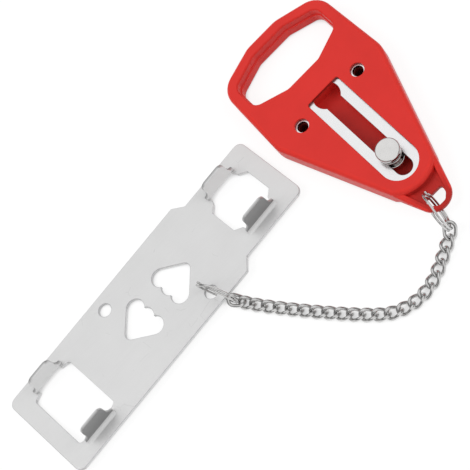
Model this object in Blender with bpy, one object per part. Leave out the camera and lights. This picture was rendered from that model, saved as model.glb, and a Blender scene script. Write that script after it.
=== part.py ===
"""Portable door lock: a moulded handle, its steel insert and sliding pin, a chain and a strike plate.

All lengths are in metres, with Z up. The handle lies on its flat back with its length along Y,
and the chain runs from its tip to the plate, as the photograph lays them out.
"""
import math

import bmesh
import bpy
from mathutils import Euler, Matrix, Vector

# Gaps between pieces
FIT_GAP = 0.0003
REST_GAP = 0.00002

# Handle moulding
HANDLE_LENGTH = 0.117
HANDLE_WIDTH = 0.0626
HANDLE_THICKNESS = 0.0105
HANDLE_TOP_SHARES = (0.27, 1.0)
HANDLE_CROWN_SHARES = (0.94, 0.891)
HANDLE_SHOULDER_SHARES = (1.0, 0.22)
HANDLE_TOP_RADIUS = 0.006
HANDLE_CROWN_RADIUS = 0.010
HANDLE_SHOULDER_RADIUS = 0.009
HANDLE_TIP_RADIUS = 0.00805
FRONT_ROUND = 0.0022
BACK_ROUND = 0.0012

# Grip window, set from the grip's end and the handle's sides
WINDOW_NEAR_INSET = 0.0290
WINDOW_NEAR_HALF = 0.009
WINDOW_SIDE_WALL = 0.0068
WINDOW_SIDE_LOW_INSET = 0.0234
WINDOW_SIDE_HIGH_INSET = 0.0105
WINDOW_FAR_INSET = 0.00525
WINDOW_CORNER_RADIUS = 0.0045
WINDOW_BEND_RADIUS = 0.003
WINDOW_ROUND = 0.0013

# Recess on the front, and the channel behind the insert. Each inset is from the grip's end,
# and each reach from the tip.
RECESS_DEPTH = 0.0016
RECESS_HALF_WIDTH = 0.0087
RECESS_TOP_INSET = 0.04155
RECESS_TIP_REACH = 0.0182
RECESS_CORNER_RADIUS = 0.001
RECESS_EDGE_ROUND = 0.0003
ROUND_END_SHARE = 0.999
BACK_WALL = 0.0020
CHANNEL_HALF_WIDTH = 0.0062
CHANNEL_TIP_REACH = 0.0174
CHANNEL_TOP_INSET = 0.0405
SCREW_SIDE_INSET = 0.0055
SCREW_TOP_INSET = 0.04645
SCREW_RADIUS = 0.0032
SCREW_BORE_RADIUS = 0.0022

# Steel insert
INSERT_THICKNESS = 0.0020
INSERT_WALL = 0.0036
INSERT_HALF_WIDTH = 0.022
INSERT_TOP_INSET = 0.0345
INSERT_TIP_REACH = 0.0162
INSERT_CORNER_RADIUS = 0.002
SLOT_HALF_WIDTH = 0.0040
SLOT_TIP_REACH = 0.02025
KEYHOLE_RADIUS = 0.0062
KEYHOLE_INSET = 0.04395
INSERT_HOLE_RADIUS = 0.00245

# Thin tab, with every reach from the tip
LEDGE_REACH = 0.01255
LEDGE_RADIUS_SHARE = 0.2556
LEDGE_ROUND = 0.0012
TAB_BOTTOM_Z = 0.0032
TAB_TOP_Z = 0.0058
TAB_ROUND = 0.0008
TAB_INNER_REACH = 0.0151
RIM_WIDTH = 0.0026
RIM_START_Z = 0.0086
RIM_START_REACH = 0.0145
RIM_END_REACH = 0.0050
RIM_ROUND = 0.0006
RIM_SINK = 0.0010
DHOLE_FLAT_REACH = 0.00785
DHOLE_END_REACH = 0.0020
DHOLE_HALF_WIDTH = 0.0050
DHOLE_CORNER_RADIUS = 0.0008
DHOLE_ROUND = 0.0005

# Locking pin, a turned piece
PIN_REACH = 0.03245
FLANGE_RADIUS = 0.0056
FLANGE_THICKNESS = 0.0016
SHANK_RADIUS = 0.0035
COLLAR_RADIUS = 0.0051
COLLAR_TOP_Z = 0.0099
HEAD_RADIUS = 0.0054
HEAD_BOTTOM_Z = 0.0121
HEAD_TOP_Z = 0.0140
HEAD_CHAMFER = 0.0007
FLANGE_CHAMFER = 0.0003

# Split rings, each a flat wire wound almost twice
RING_RADIUS = 0.00875
RING_WIRE_WIDTH = 0.0015
RING_WIRE_THICKNESS = 0.00085
RING_COIL_GAP = 0.0004
RING_WIRE_CHAMFER = 0.00022
RING_START = math.radians(150)
RING_CRANK_START = math.radians(290)
RING_CRANK_TURN = math.radians(60)
RING_TOTAL_TURN = math.radians(640)
RING_STEPS = 43

# Place of the handle's ring, which stands on the floor and leans
HANDLE_RING_X = -0.0044
HANDLE_RING_PAST_TIP = 0.00103
HANDLE_RING_HEADING = math.radians(255.3)
HANDLE_RING_LEAN = math.radians(8.1)

# Chain of curb links
LINK_COUNT = 22
LINK_PITCH = 0.00536
LINK_WIRE_RADIUS = 0.0007
LINK_HALF_WIDTH = 0.0023
LINK_TWIST = math.radians(45)
LINK_STEPS = 20
LINK_SIDES = 8
LINK_FLOOR_GAP = 0.00005
CHAIN_TURN_SHARES = (0.0, 0.1, 0.16, 0.42, 0.48, 0.62, 0.9, 1.0)
CHAIN_TURNS = (209, 206, 199, 136, 131, 128, 125, 121)

# First link, tipped up into the handle's ring
FIRST_LINK_REACH = 0.00619
FIRST_LINK_TURN = math.radians(17.8)
FIRST_LINK_HEADING = math.radians(203.0)
FIRST_LINK_TIP = math.radians(24.0)
FIRST_LINK_RISE = 0.00239
FIRST_LINK_STEP = 0.00474
FIRST_LINK_STEP_HEADING = math.radians(208.06)

# Last link, tipped up into the plate's ring
LAST_LINK_SHORT = 0.00095
LAST_LINK_HEADING = math.radians(120.7)
LAST_LINK_TIP = math.radians(-17.7)
LAST_LINK_ROLL = math.radians(-23.7)
LAST_LINK_RISE = 0.00037
PLATE_RING_REACH = 0.00936
PLATE_RING_TURN = math.radians(118.65)
PLATE_RING_HEADING = math.radians(291.7)
PLATE_RING_LEAN = math.radians(4.22)

# Strike plate
PLATE_LENGTH = 0.150
PLATE_WIDTH = 0.0488
PLATE_NARROW_WIDTH = 0.0396
PLATE_THICKNESS = 0.0018
PLATE_SHOULDER_INSET = 0.0411
PLATE_CORNER_RADIUS = 0.0035
PLATE_SHOULDER_RADIUS = 0.0012
PLATE_EDGE_ROUND = 0.00025
PLATE_HOLE_END_INSET = 0.0575
PLATE_HOLE_SIDE_INSET = 0.0069
PLATE_HOLE_RADIUS = 0.0030
PLATE_HEADING = math.radians(5.69)
PLATE_TILT = math.radians(3.17)
PLATE_RING_OFFSET = 0.00516

# Claws bent up from the plate's windows
CLAW_THICKNESS = 0.0015
CLAW_HEIGHT = 0.0105
CLAW_BEND_RADIUS = 0.0012
CLAW_TIP_ROUND = 0.0013
CLAW_FOOT = 0.0016
CLAW_FOOT_INSET = 0.00003
CLAW_RELIEF = 0.0005
NARROW_CLAW_WIDTH = 0.0132
NARROW_CLAW_SPAN = 0.0270
NARROW_WINDOW_INSET = 0.0198
NARROW_WINDOW_HALF = 0.0116
NARROW_WINDOW_SIDE_Y = 0.0068
NARROW_WINDOW_NECK_X = 0.0082
NARROW_WINDOW_NECK_Y = 0.0092
NARROW_WINDOW_EDGE_Y = 0.0122
WIDE_CLAW_WIDTH = 0.0130
WIDE_CLAW_SPAN = 0.0364
WIDE_WINDOW_INSET = 0.0199
WIDE_WINDOW_HALF = 0.0113
WIDE_WINDOW_EDGE_Y = 0.0160
WIDE_WINDOW_RADIUS = 0.0015

# Lobed cut-outs
LOBE_RADIUS = 0.0042
LOBE_X = 0.0084
LOBE_SPACING = 0.0063
LOBE_TIP_X = 0.0210
LOBE_TIP_RADIUS = 0.0015

# How finely round shapes are drawn
ARC_STEP = math.radians(15)
PIN_SIDES = 32
HOLE_SIDES = 24


def clear_scene():
    """Remove every object, so that the script can run again."""
    for item in list(bpy.data.objects):
        bpy.data.objects.remove(item, do_unlink=True)


def material(name, colour, roughness, metallic):
    """One Principled material."""
    made = bpy.data.materials.new(name)
    made.use_nodes = True
    shader = made.node_tree.nodes["Principled BSDF"]
    shader.inputs["Base Color"].default_value = (*colour, 1.0)
    shader.inputs["Roughness"].default_value = roughness
    shader.inputs["Metallic"].default_value = metallic
    made.diffuse_color = (*colour, 1.0)
    return made


def add_object(name, mesh, paint=None):
    """Put a mesh into the scene, with its material."""
    item = bpy.data.objects.new(name, mesh)
    bpy.context.scene.collection.objects.link(item)
    if paint is not None:
        mesh.materials.clear()
        mesh.materials.append(paint)
    return item


def finish(shape, name, smooth_angle=math.radians(30)):
    """Turn a bmesh into a mesh with outward faces and smooth round sides."""
    bmesh.ops.recalc_face_normals(shape, faces=shape.faces)
    for face in shape.faces:
        face.smooth = True
    for edge in shape.edges:
        edge.smooth = edge.calc_face_angle(math.pi) < smooth_angle
    mesh = bpy.data.meshes.new(name)
    shape.to_mesh(mesh)
    shape.free()
    return mesh


def stack(name, layers):
    """A closed solid through outlines of the same point count, lowest layer first."""
    shape = bmesh.new()
    rings = [[shape.verts.new(point) for point in layer] for layer in layers]
    count = len(rings[0])
    for low, high in zip(rings, rings[1:]):
        for i in range(count):
            j = (i + 1) % count
            shape.faces.new((low[i], low[j], high[j], high[i]))
    shape.faces.new(rings[0][::-1])
    shape.faces.new(rings[-1])
    return finish(shape, name)


def signed_area(points):
    """Area of an outline, positive when it runs anticlockwise."""
    pairs = zip(points, points[1:] + points[:1])
    return sum(a[0] * b[1] - b[0] * a[1] for a, b in pairs) / 2


def rounded(corners):
    """Outline through corners given as (x, y, radius), with an arc at each."""
    points = []
    count = len(corners)
    for i, (x, y, radius) in enumerate(corners):
        here = Vector((x, y))
        to_last = (Vector(corners[i - 1][:2]) - here).normalized()
        to_next = (Vector(corners[(i + 1) % count][:2]) - here).normalized()
        opening = to_last.angle(to_next)
        turn = math.pi - opening
        if radius == 0 or turn < math.radians(1):
            points.append((x, y))
            continue
        start = here + to_last * radius / math.tan(opening / 2)
        centre = here + (to_last + to_next).normalized() * radius / math.sin(opening / 2)
        arm = start - centre
        side = 1 if to_last.x * to_next.y - to_last.y * to_next.x < 0 else -1
        steps = max(2, math.ceil(turn / ARC_STEP))
        for k in range(steps + 1):
            spoke = Matrix.Rotation(side * turn * k / steps, 2) @ arm
            points.append((centre.x + spoke.x, centre.y + spoke.y))
    if signed_area(points) < 0:
        points.reverse()
    return points


def mirrored(corners):
    """Right-hand corners from top to bottom, followed by their mirror images."""
    left = [(-x, y, radius) for x, y, radius in reversed(corners) if x != 0]
    return list(corners) + left


def circle(x, y, radius, sides=HOLE_SIDES):
    """Points of a circle."""
    turns = [2 * math.pi * k / sides for k in range(sides)]
    return [(x + radius * math.cos(a), y + radius * math.sin(a)) for a in turns]


def offset(points, distance):
    """An outline moved outwards by a distance, with mitred corners."""
    moved = []
    count = len(points)
    for i in range(count):
        before = Vector(points[i]) - Vector(points[i - 1])
        after = Vector(points[(i + 1) % count]) - Vector(points[i])
        first = Vector((before.y, -before.x)).normalized()
        second = Vector((after.y, -after.x)).normalized()
        middle = (first + second).normalized()
        reach = distance / max(middle.dot(first), math.cos(math.radians(75)))
        moved.append((points[i][0] + middle.x * reach, points[i][1] + middle.y * reach))
    return moved


def level(points, z):
    """Lift an outline to a height."""
    return [(x, y, z) for x, y in points]


def rounded_slab(name, points, bottom, top, bottom_round, top_round, steps=3):
    """A slab whose lower and upper edges are rounded inwards."""
    layers = []
    for k in range(steps + 1):
        turn = math.pi / 2 * k / steps
        inset = bottom_round * (1 - math.sin(turn))
        layers.append(level(offset(points, -inset), bottom + bottom_round * (1 - math.cos(turn))))
    for k in range(steps + 1):
        turn = math.pi / 2 * k / steps
        inset = top_round * (1 - math.cos(turn))
        layers.append(level(offset(points, -inset), top - top_round * (1 - math.sin(turn))))
    return stack(name, layers)


def flared_cutter(name, points, bottom, top, bottom_round, top_round, past, steps=3):
    """A cutter that leaves rounded edges where it passes the two faces."""
    layers = []
    if bottom_round > 0:
        layers.append(level(offset(points, bottom_round), bottom - past))
        for k in range(steps + 1):
            turn = math.pi / 2 * k / steps
            flare = bottom_round * (1 - math.sin(turn))
            layers.append(level(offset(points, flare), bottom + bottom_round * (1 - math.cos(turn))))
    else:
        layers.append(level(points, bottom - past))
    if top_round > 0:
        for k in range(steps + 1):
            turn = math.pi / 2 * k / steps
            flare = top_round * (1 - math.cos(turn))
            layers.append(level(offset(points, flare), top - top_round * (1 - math.sin(turn))))
        layers.append(level(offset(points, top_round), top + past))
    else:
        layers.append(level(points, top + past))
    return stack(name, layers)


def plain_slab(name, points, bottom, top):
    """A straight slab."""
    return stack(name, [level(points, bottom), level(points, top)])


def boolean(target, name, mesh, operation):
    """Cut a helper away from an object, or join it on, with a live Boolean."""
    helper = add_object(name, mesh)
    helper.hide_render = True
    helper.display_type = "WIRE"
    helper.matrix_world = target.matrix_world
    helper.hide_set(True)
    change = target.modifiers.new(name, "BOOLEAN")
    change.operation = operation
    change.solver = "EXACT"
    change.object = helper
    return helper


def handle_outline():
    """Corners of the handle's outline, from the grip's crown to the tip."""
    half_length = HANDLE_LENGTH / 2
    half_width = HANDLE_WIDTH / 2
    top_x = half_width * HANDLE_TOP_SHARES[0]
    crown_x = half_width * HANDLE_CROWN_SHARES[0]
    crown_y = half_length * HANDLE_CROWN_SHARES[1]
    shoulder_x = half_width * HANDLE_SHOULDER_SHARES[0]
    shoulder_y = half_length * HANDLE_SHOULDER_SHARES[1]
    tip_centre = HANDLE_TIP_RADIUS - half_length
    reach = math.hypot(shoulder_x, shoulder_y - tip_centre)
    taper = math.atan2(shoulder_x, shoulder_y - tip_centre) - math.asin(HANDLE_TIP_RADIUS / reach)
    apex_y = shoulder_y - shoulder_x / math.tan(taper)
    corners = [
        (top_x, half_length, HANDLE_TOP_RADIUS),
        (crown_x, crown_y, HANDLE_CROWN_RADIUS),
        (shoulder_x, shoulder_y, HANDLE_SHOULDER_RADIUS),
        (0, apex_y, HANDLE_TIP_RADIUS),
    ]
    return corners, taper


def from_grip(inset):
    """Y of a place this far inside the grip's end."""
    return HANDLE_LENGTH / 2 - inset


def from_tip(reach):
    """Y of a place this far inside the tip's end."""
    return reach - HANDLE_LENGTH / 2


def screw_x():
    """From the middle to either screw."""
    return INSERT_HALF_WIDTH - SCREW_SIDE_INSET


def taper_half_width(y):
    """Half the handle's width at a place on its straight taper."""
    corners, taper = handle_outline()
    return corners[2][0] - (corners[2][1] - y) * math.tan(taper)


def insert_corners():
    """Corners of the steel insert, which follows the handle's taper."""
    taper = handle_outline()[1]
    side = INSERT_WALL / math.cos(taper)
    tip_y = from_tip(INSERT_TIP_REACH)
    tip_x = taper_half_width(tip_y) - side
    side_y = tip_y + (INSERT_HALF_WIDTH - tip_x) / math.tan(taper)
    return mirrored([
        (INSERT_HALF_WIDTH, from_grip(INSERT_TOP_INSET), INSERT_CORNER_RADIUS),
        (INSERT_HALF_WIDTH, side_y, INSERT_CORNER_RADIUS),
        (tip_x, tip_y, INSERT_CORNER_RADIUS),
    ])


def slot_like(half_width, tip_y, top_y, corner_radius):
    """Corners of a recess with a round end towards the tip and a square end above."""
    return mirrored([
        (half_width, top_y, corner_radius),
        (half_width, tip_y, half_width * ROUND_END_SHARE),
    ])


def dhole_corners():
    """Outline of the D-shaped hole in the tab."""
    flat_y = from_tip(DHOLE_FLAT_REACH)
    end_y = from_tip(DHOLE_END_REACH)
    depth = flat_y - end_y
    radius = (DHOLE_HALF_WIDTH ** 2 + depth ** 2) / (2 * depth)
    centre_y = end_y + radius
    start = math.atan2(flat_y - centre_y, DHOLE_HALF_WIDTH)
    sweep = math.pi + 2 * start
    steps = math.ceil(sweep / ARC_STEP)
    points = []
    for k in range(steps + 1):
        turn = start - sweep * k / steps
        rounding = DHOLE_CORNER_RADIUS if k in (0, steps) else 0
        points.append((radius * math.cos(turn), centre_y + radius * math.sin(turn), rounding))
    return points


def ledge_cutter():
    """Everything in front of the curved ledge that ends the thick body."""
    across = HANDLE_WIDTH / 4
    radius = HANDLE_WIDTH * LEDGE_RADIUS_SHARE
    sweep = math.asin(across / radius)
    centre_y = from_tip(LEDGE_REACH) + radius
    steps = math.ceil(2 * sweep / ARC_STEP)
    points = []
    for k in range(steps + 1):
        turn = -math.pi / 2 + sweep - 2 * sweep * k / steps
        points.append((radius * math.cos(turn), centre_y + radius * math.sin(turn)))
    points.append((-across, -HANDLE_LENGTH))
    points.append((across, -HANDLE_LENGTH))
    if signed_area(points) < 0:
        points.reverse()
    return flared_cutter("cut_ledge", points, 0, HANDLE_THICKNESS, LEDGE_ROUND, LEDGE_ROUND,
                         HANDLE_THICKNESS)


def tab_outline():
    """Outline of the tip's thin tab, open towards the body."""
    corners, _ = handle_outline()
    outline = rounded(mirrored(corners))
    inner_y = from_tip(TAB_INNER_REACH)
    low = [point for point in outline if point[1] < inner_y]
    centre = sum(point[0] for point in low) / len(low)
    low.sort(key=lambda point: math.atan2(point[1] - inner_y, point[0] - centre))
    half = taper_half_width(inner_y)
    return [(-half, inner_y)] + low + [(half, inner_y)]


def rim_mesh(name, side):
    """A raised rim that runs down one side of the tab from the body."""
    layers = []
    drop = RIM_START_Z - TAB_TOP_Z
    bottom_z = TAB_BOTTOM_Z + RIM_SINK
    for inset, lift in ((0, -drop), (0, -RIM_ROUND), (RIM_ROUND, 0)):
        layer = []
        for y, start in ((from_tip(RIM_START_REACH), 1), (from_tip(RIM_END_REACH), 0)):
            outer = taper_half_width(y) - REST_GAP - inset
            inner = taper_half_width(y) - RIM_WIDTH + inset
            top = TAB_TOP_Z + drop * start
            if lift == -drop:
                z = bottom_z
            else:
                z = top + lift
            pair = [(side * outer, y, z), (side * inner, y, z)]
            layer.extend(pair if start else reversed(pair))
        layers.append(layer)
    return stack(name, layers)


def build_moulding(paint):
    """The red moulded handle."""
    corners, _ = handle_outline()
    outline = rounded(mirrored(corners))
    mesh = rounded_slab("handle_moulding", outline, 0, HANDLE_THICKNESS, BACK_ROUND, FRONT_ROUND)
    body = add_object("handle_moulding", mesh, paint)

    side_x = HANDLE_WIDTH / 2 - WINDOW_SIDE_WALL
    window = rounded(mirrored([
        (WINDOW_NEAR_HALF, from_grip(WINDOW_FAR_INSET), WINDOW_BEND_RADIUS),
        (side_x, from_grip(WINDOW_SIDE_HIGH_INSET), WINDOW_CORNER_RADIUS),
        (side_x, from_grip(WINDOW_SIDE_LOW_INSET), WINDOW_CORNER_RADIUS),
        (WINDOW_NEAR_HALF, from_grip(WINDOW_NEAR_INSET), WINDOW_BEND_RADIUS),
    ]))
    boolean(body, "cut_window", flared_cutter(
        "cut_window", window, 0, HANDLE_THICKNESS, WINDOW_ROUND, WINDOW_ROUND, HANDLE_THICKNESS),
        "DIFFERENCE")

    steel_top = HANDLE_THICKNESS - RECESS_DEPTH
    steel_bottom = steel_top - INSERT_THICKNESS
    recess = rounded(slot_like(RECESS_HALF_WIDTH, from_tip(RECESS_TIP_REACH),
                               from_grip(RECESS_TOP_INSET), RECESS_CORNER_RADIUS))
    boolean(body, "cut_recess", flared_cutter(
        "cut_recess", recess, steel_top, HANDLE_THICKNESS, 0, RECESS_EDGE_ROUND,
        FIT_GAP, 1), "DIFFERENCE")
    pocket = offset(rounded(insert_corners()), FIT_GAP)
    boolean(body, "cut_pocket", plain_slab(
        "cut_pocket", pocket, steel_bottom - FIT_GAP, steel_top + FIT_GAP), "DIFFERENCE")
    channel = rounded(slot_like(
        CHANNEL_HALF_WIDTH, from_tip(CHANNEL_TIP_REACH), from_grip(CHANNEL_TOP_INSET),
        RECESS_CORNER_RADIUS))
    boolean(body, "cut_channel", plain_slab(
        "cut_channel", channel, BACK_WALL, steel_bottom), "DIFFERENCE")
    for name, side in (("cut_screw_left", -1), ("cut_screw_right", 1)):
        x = side * screw_x()
        y = from_grip(SCREW_TOP_INSET)
        layers = [
            level(circle(x, y, SCREW_BORE_RADIUS), BACK_WALL),
            level(circle(x, y, SCREW_BORE_RADIUS), steel_bottom),
            level(circle(x, y, SCREW_RADIUS), steel_top),
            level(circle(x, y, SCREW_RADIUS), HANDLE_THICKNESS + FIT_GAP),
        ]
        boolean(body, name, stack(name, layers), "DIFFERENCE")

    boolean(body, "cut_ledge", ledge_cutter(), "DIFFERENCE")
    boolean(body, "join_tab", rounded_slab(
        "join_tab", tab_outline(), TAB_BOTTOM_Z, TAB_TOP_Z, TAB_ROUND, TAB_ROUND), "UNION")
    boolean(body, "join_rim_left", rim_mesh("join_rim_left", -1), "UNION")
    boolean(body, "join_rim_right", rim_mesh("join_rim_right", 1), "UNION")
    boolean(body, "cut_dhole", flared_cutter(
        "cut_dhole", rounded(dhole_corners()), TAB_BOTTOM_Z, TAB_TOP_Z, DHOLE_ROUND, DHOLE_ROUND,
        HANDLE_THICKNESS), "DIFFERENCE")
    return body


def build_insert(paint):
    """The steel insert with its keyhole slot."""
    top = HANDLE_THICKNESS - RECESS_DEPTH
    bottom = top - INSERT_THICKNESS
    plate = add_object("steel_insert", plain_slab(
        "steel_insert", rounded(insert_corners()), bottom, top), paint)
    keyhole_y = from_grip(KEYHOLE_INSET)
    slot = rounded(slot_like(SLOT_HALF_WIDTH, from_tip(SLOT_TIP_REACH), keyhole_y, 0))
    boolean(plate, "cut_slot", plain_slab(
        "cut_slot", slot, bottom - FIT_GAP, top + FIT_GAP), "DIFFERENCE")
    boolean(plate, "cut_keyhole", plain_slab(
        "cut_keyhole", circle(0, keyhole_y, KEYHOLE_RADIUS, PIN_SIDES),
        bottom - FIT_GAP, top + FIT_GAP), "DIFFERENCE")
    for name, side in (("cut_hole_left", -1), ("cut_hole_right", 1)):
        boolean(plate, name, plain_slab(
            name, circle(side * screw_x(), from_grip(SCREW_TOP_INSET), INSERT_HOLE_RADIUS),
            bottom - FIT_GAP, top + FIT_GAP), "DIFFERENCE")
    return plate


def build_pin(paint):
    """The locking pin, turned about its own upright axis."""
    steel_top = HANDLE_THICKNESS - RECESS_DEPTH
    flange_top = steel_top - INSERT_THICKNESS - FIT_GAP
    flange_bottom = flange_top - FLANGE_THICKNESS
    collar_bottom = steel_top + FIT_GAP
    profile = [
        (FLANGE_RADIUS - FLANGE_CHAMFER, flange_bottom),
        (FLANGE_RADIUS, flange_bottom + FLANGE_CHAMFER),
        (FLANGE_RADIUS, flange_top),
        (SHANK_RADIUS, flange_top),
        (SHANK_RADIUS, collar_bottom),
        (COLLAR_RADIUS, collar_bottom),
        (COLLAR_RADIUS, COLLAR_TOP_Z - FLANGE_CHAMFER),
        (COLLAR_RADIUS - FLANGE_CHAMFER, COLLAR_TOP_Z),
        (SHANK_RADIUS, COLLAR_TOP_Z),
        (SHANK_RADIUS, HEAD_BOTTOM_Z),
        (HEAD_RADIUS - FLANGE_CHAMFER, HEAD_BOTTOM_Z),
        (HEAD_RADIUS, HEAD_BOTTOM_Z + FLANGE_CHAMFER),
        (HEAD_RADIUS, HEAD_TOP_Z - HEAD_CHAMFER),
        (HEAD_RADIUS - HEAD_CHAMFER, HEAD_TOP_Z),
    ]
    layers = [level(circle(0, 0, radius, PIN_SIDES), z) for radius, z in profile]
    pin = add_object("locking_pin", stack("locking_pin", layers), paint)
    pin.location = (0, from_tip(PIN_REACH), 0)
    return pin


def sweep(name, sections, closed):
    """Join equal sections into a tube, capped at its ends or closed on itself."""
    shape = bmesh.new()
    rings = [[shape.verts.new(point) for point in section] for section in sections]
    count = len(rings)
    sides = len(rings[0])
    for k in range(count if closed else count - 1):
        here = rings[k]
        after = rings[(k + 1) % count]
        for i in range(sides):
            j = (i + 1) % sides
            shape.faces.new((here[i], here[j], after[j], after[i]))
    if not closed:
        shape.faces.new(rings[0][::-1])
        shape.faces.new(rings[-1])
    return finish(shape, name, math.radians(60))


def ring_mesh(name):
    """A split ring about its own Z axis: one flat wire wound almost twice."""
    half_width = RING_WIRE_WIDTH / 2
    half_thick = RING_WIRE_THICKNESS / 2
    cut = RING_WIRE_CHAMFER
    outline = [
        (half_width, cut - half_thick),
        (half_width, half_thick - cut),
        (half_width - cut, half_thick),
        (cut - half_width, half_thick),
        (-half_width, half_thick - cut),
        (-half_width, cut - half_thick),
        (cut - half_width, -half_thick),
        (half_width - cut, -half_thick),
    ]
    climb = RING_WIRE_THICKNESS + RING_COIL_GAP
    sections = []
    for k in range(RING_STEPS + 1):
        turned = RING_TOTAL_TURN * k / RING_STEPS
        share = min(max((turned - RING_CRANK_START) / RING_CRANK_TURN, 0), 1)
        height = climb * (share * share * (3 - 2 * share) - 0.5)
        spoke = Vector((math.cos(RING_START + turned), math.sin(RING_START + turned), 0))
        sections.append([
            spoke * (RING_RADIUS + across) + Vector((0, 0, height + along))
            for across, along in outline
        ])
    return sweep(name, sections, False)


def ring_frame(centre, heading, lean):
    """Where a standing ring goes: its X axis level along the heading, its Y axis up."""
    along = Vector((math.cos(heading), math.sin(heading), 0))
    right = Vector((math.sin(heading), -math.cos(heading), 0))
    up = Vector((0, 0, 1)) * math.cos(lean) + right * math.sin(lean)
    frame = Matrix((along, up, along.cross(up))).transposed().to_4x4()
    frame.translation = centre
    return frame


def ring_height(lean):
    """Height of a ring's centre above the floor when it stands leaning."""
    half_thick = RING_WIRE_THICKNESS + RING_COIL_GAP / 2
    reach = RING_RADIUS + RING_WIRE_WIDTH / 2
    return REST_GAP + reach * math.cos(lean) + half_thick * math.sin(lean)


def build_ring(name, centre, heading, lean, hinge, paint):
    """A split ring whose origin is on its upright joint axis."""
    ring = add_object(name, ring_mesh(name), paint)
    frame = ring_frame(centre, heading, lean)
    placed = frame.copy()
    placed.translation = hinge
    ring.data.transform(placed.inverted() @ frame)
    ring.matrix_world = placed
    return ring


def link_half_length():
    """From a link's middle to the centre of its wire at either end."""
    return (LINK_PITCH + 2 * LINK_WIRE_RADIUS + FIT_GAP) / 2


def link_path(count):
    """Evenly spaced points round a link's oblong, before it is twisted."""
    straight = 2 * (link_half_length() - LINK_HALF_WIDTH)
    bow = math.pi * LINK_HALF_WIDTH
    total = 2 * straight + 2 * bow
    points = []
    for k in range(count):
        gone = total * (k + 0.5) / count
        side = 1
        if gone > total / 2:
            gone -= total / 2
            side = -1
        if gone < straight:
            x = gone - straight / 2
            y = -LINK_HALF_WIDTH
        else:
            turn = (gone - straight) / LINK_HALF_WIDTH - math.pi / 2
            x = straight / 2 + LINK_HALF_WIDTH * math.cos(turn)
            y = LINK_HALF_WIDTH * math.sin(turn)
        points.append((side * x, side * y))
    return points


def twist_at(x):
    """How far a link is twisted at a place along it."""
    return LINK_TWIST * math.sin(math.pi / 2 * x / link_half_length())


def link_mesh(name):
    """A twisted curb link along X, with its origin where the link before it bears."""
    path = []
    across = []
    for x, y in link_path(LINK_STEPS):
        turn = twist_at(x)
        path.append(Vector((x, y * math.cos(turn), y * math.sin(turn))))
        across.append(Vector((0, -math.sin(turn), math.cos(turn))))
    shift = Vector((LINK_PITCH / 2, 0, 0))
    sections = []
    for k in range(LINK_STEPS):
        along = (path[(k + 1) % LINK_STEPS] - path[k - 1]).normalized()
        first = (across[k] - along * across[k].dot(along)).normalized()
        second = along.cross(first)
        section = []
        for i in range(LINK_SIDES):
            turn = 2 * math.pi * (i + 0.5) / LINK_SIDES
            spoke = first * math.cos(turn) + second * math.sin(turn)
            section.append(path[k] + shift + spoke * LINK_WIRE_RADIUS)
        sections.append(section)
    return sweep(name, sections, True)


def link_height():
    """Height of a flat link's middle above the floor."""
    highest = max(abs(y) * abs(math.sin(twist_at(x))) for x, y in link_path(8 * LINK_STEPS))
    return highest + LINK_WIRE_RADIUS + LINK_FLOOR_GAP


def chain_heading(share):
    """Heading of the chain at a share of its length."""
    for k in range(1, len(CHAIN_TURN_SHARES)):
        if share <= CHAIN_TURN_SHARES[k]:
            break
    low = CHAIN_TURN_SHARES[k - 1]
    high = CHAIN_TURN_SHARES[k]
    part = (share - low) / (high - low)
    return math.radians(CHAIN_TURNS[k - 1] + (CHAIN_TURNS[k] - CHAIN_TURNS[k - 1]) * part)


def direction(heading):
    """A level unit vector."""
    return Vector((math.cos(heading), math.sin(heading), 0))


def build_chain(start_ring, paint):
    """Links from the handle's ring to the plate's ring; returns the last link's two ends."""
    mesh = link_mesh("chain_link")
    level_up = Vector((0, 0, 1)) * link_height()
    place = start_ring + direction(HANDLE_RING_HEADING + FIRST_LINK_TURN) * FIRST_LINK_REACH
    place = Vector((place.x, place.y, 0))
    ends = None
    for k in range(LINK_COUNT):
        link = add_object(f"chain_link_{k + 1:02d}", mesh, paint)
        share = min(max((k - 1) / (LINK_COUNT - 3), 0), 1)
        heading = chain_heading(share)
        if k == 0:
            link.rotation_euler = Euler((0, FIRST_LINK_TIP, FIRST_LINK_HEADING))
            link.location = place + level_up + Vector((0, 0, FIRST_LINK_RISE))
            place = place + direction(FIRST_LINK_STEP_HEADING) * FIRST_LINK_STEP
        elif k < LINK_COUNT - 1:
            link.rotation_euler = Euler((0, 0, heading))
            link.location = place + level_up
            step = LINK_PITCH if k < LINK_COUNT - 2 else LINK_PITCH - LAST_LINK_SHORT
            place = place + direction(heading) * step
        else:
            link.rotation_euler = Euler((LAST_LINK_ROLL, LAST_LINK_TIP, LAST_LINK_HEADING))
            link.location = place + level_up + Vector((0, 0, LAST_LINK_RISE))
            reach = link.rotation_euler.to_matrix() @ Vector((LINK_PITCH, 0, 0))
            ends = link.location.copy(), link.location + reach
    return ends


def plate_outline():
    """Corners of the plate, wide at -X and narrow at +X."""
    half = PLATE_LENGTH / 2
    wide = PLATE_WIDTH / 2
    narrow = PLATE_NARROW_WIDTH / 2
    shoulder_x = half - PLATE_SHOULDER_INSET
    shoulder_end = shoulder_x + wide - narrow
    upper = [
        (-half, wide, PLATE_CORNER_RADIUS),
        (shoulder_x, wide, PLATE_SHOULDER_RADIUS),
        (shoulder_end, narrow, PLATE_SHOULDER_RADIUS),
        (half, narrow, PLATE_CORNER_RADIUS),
    ]
    lower = [(x, -y, radius) for x, y, radius in reversed(upper)]
    return rounded(upper + lower)


def window_corners(right):
    """Corners of a plate window from its right half's upper corners, about its middle."""
    upper = right + [(-x, y, radius) for x, y, radius in reversed(right)]
    lower = [(-x, -y, radius) for x, y, radius in upper]
    return upper + lower


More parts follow.
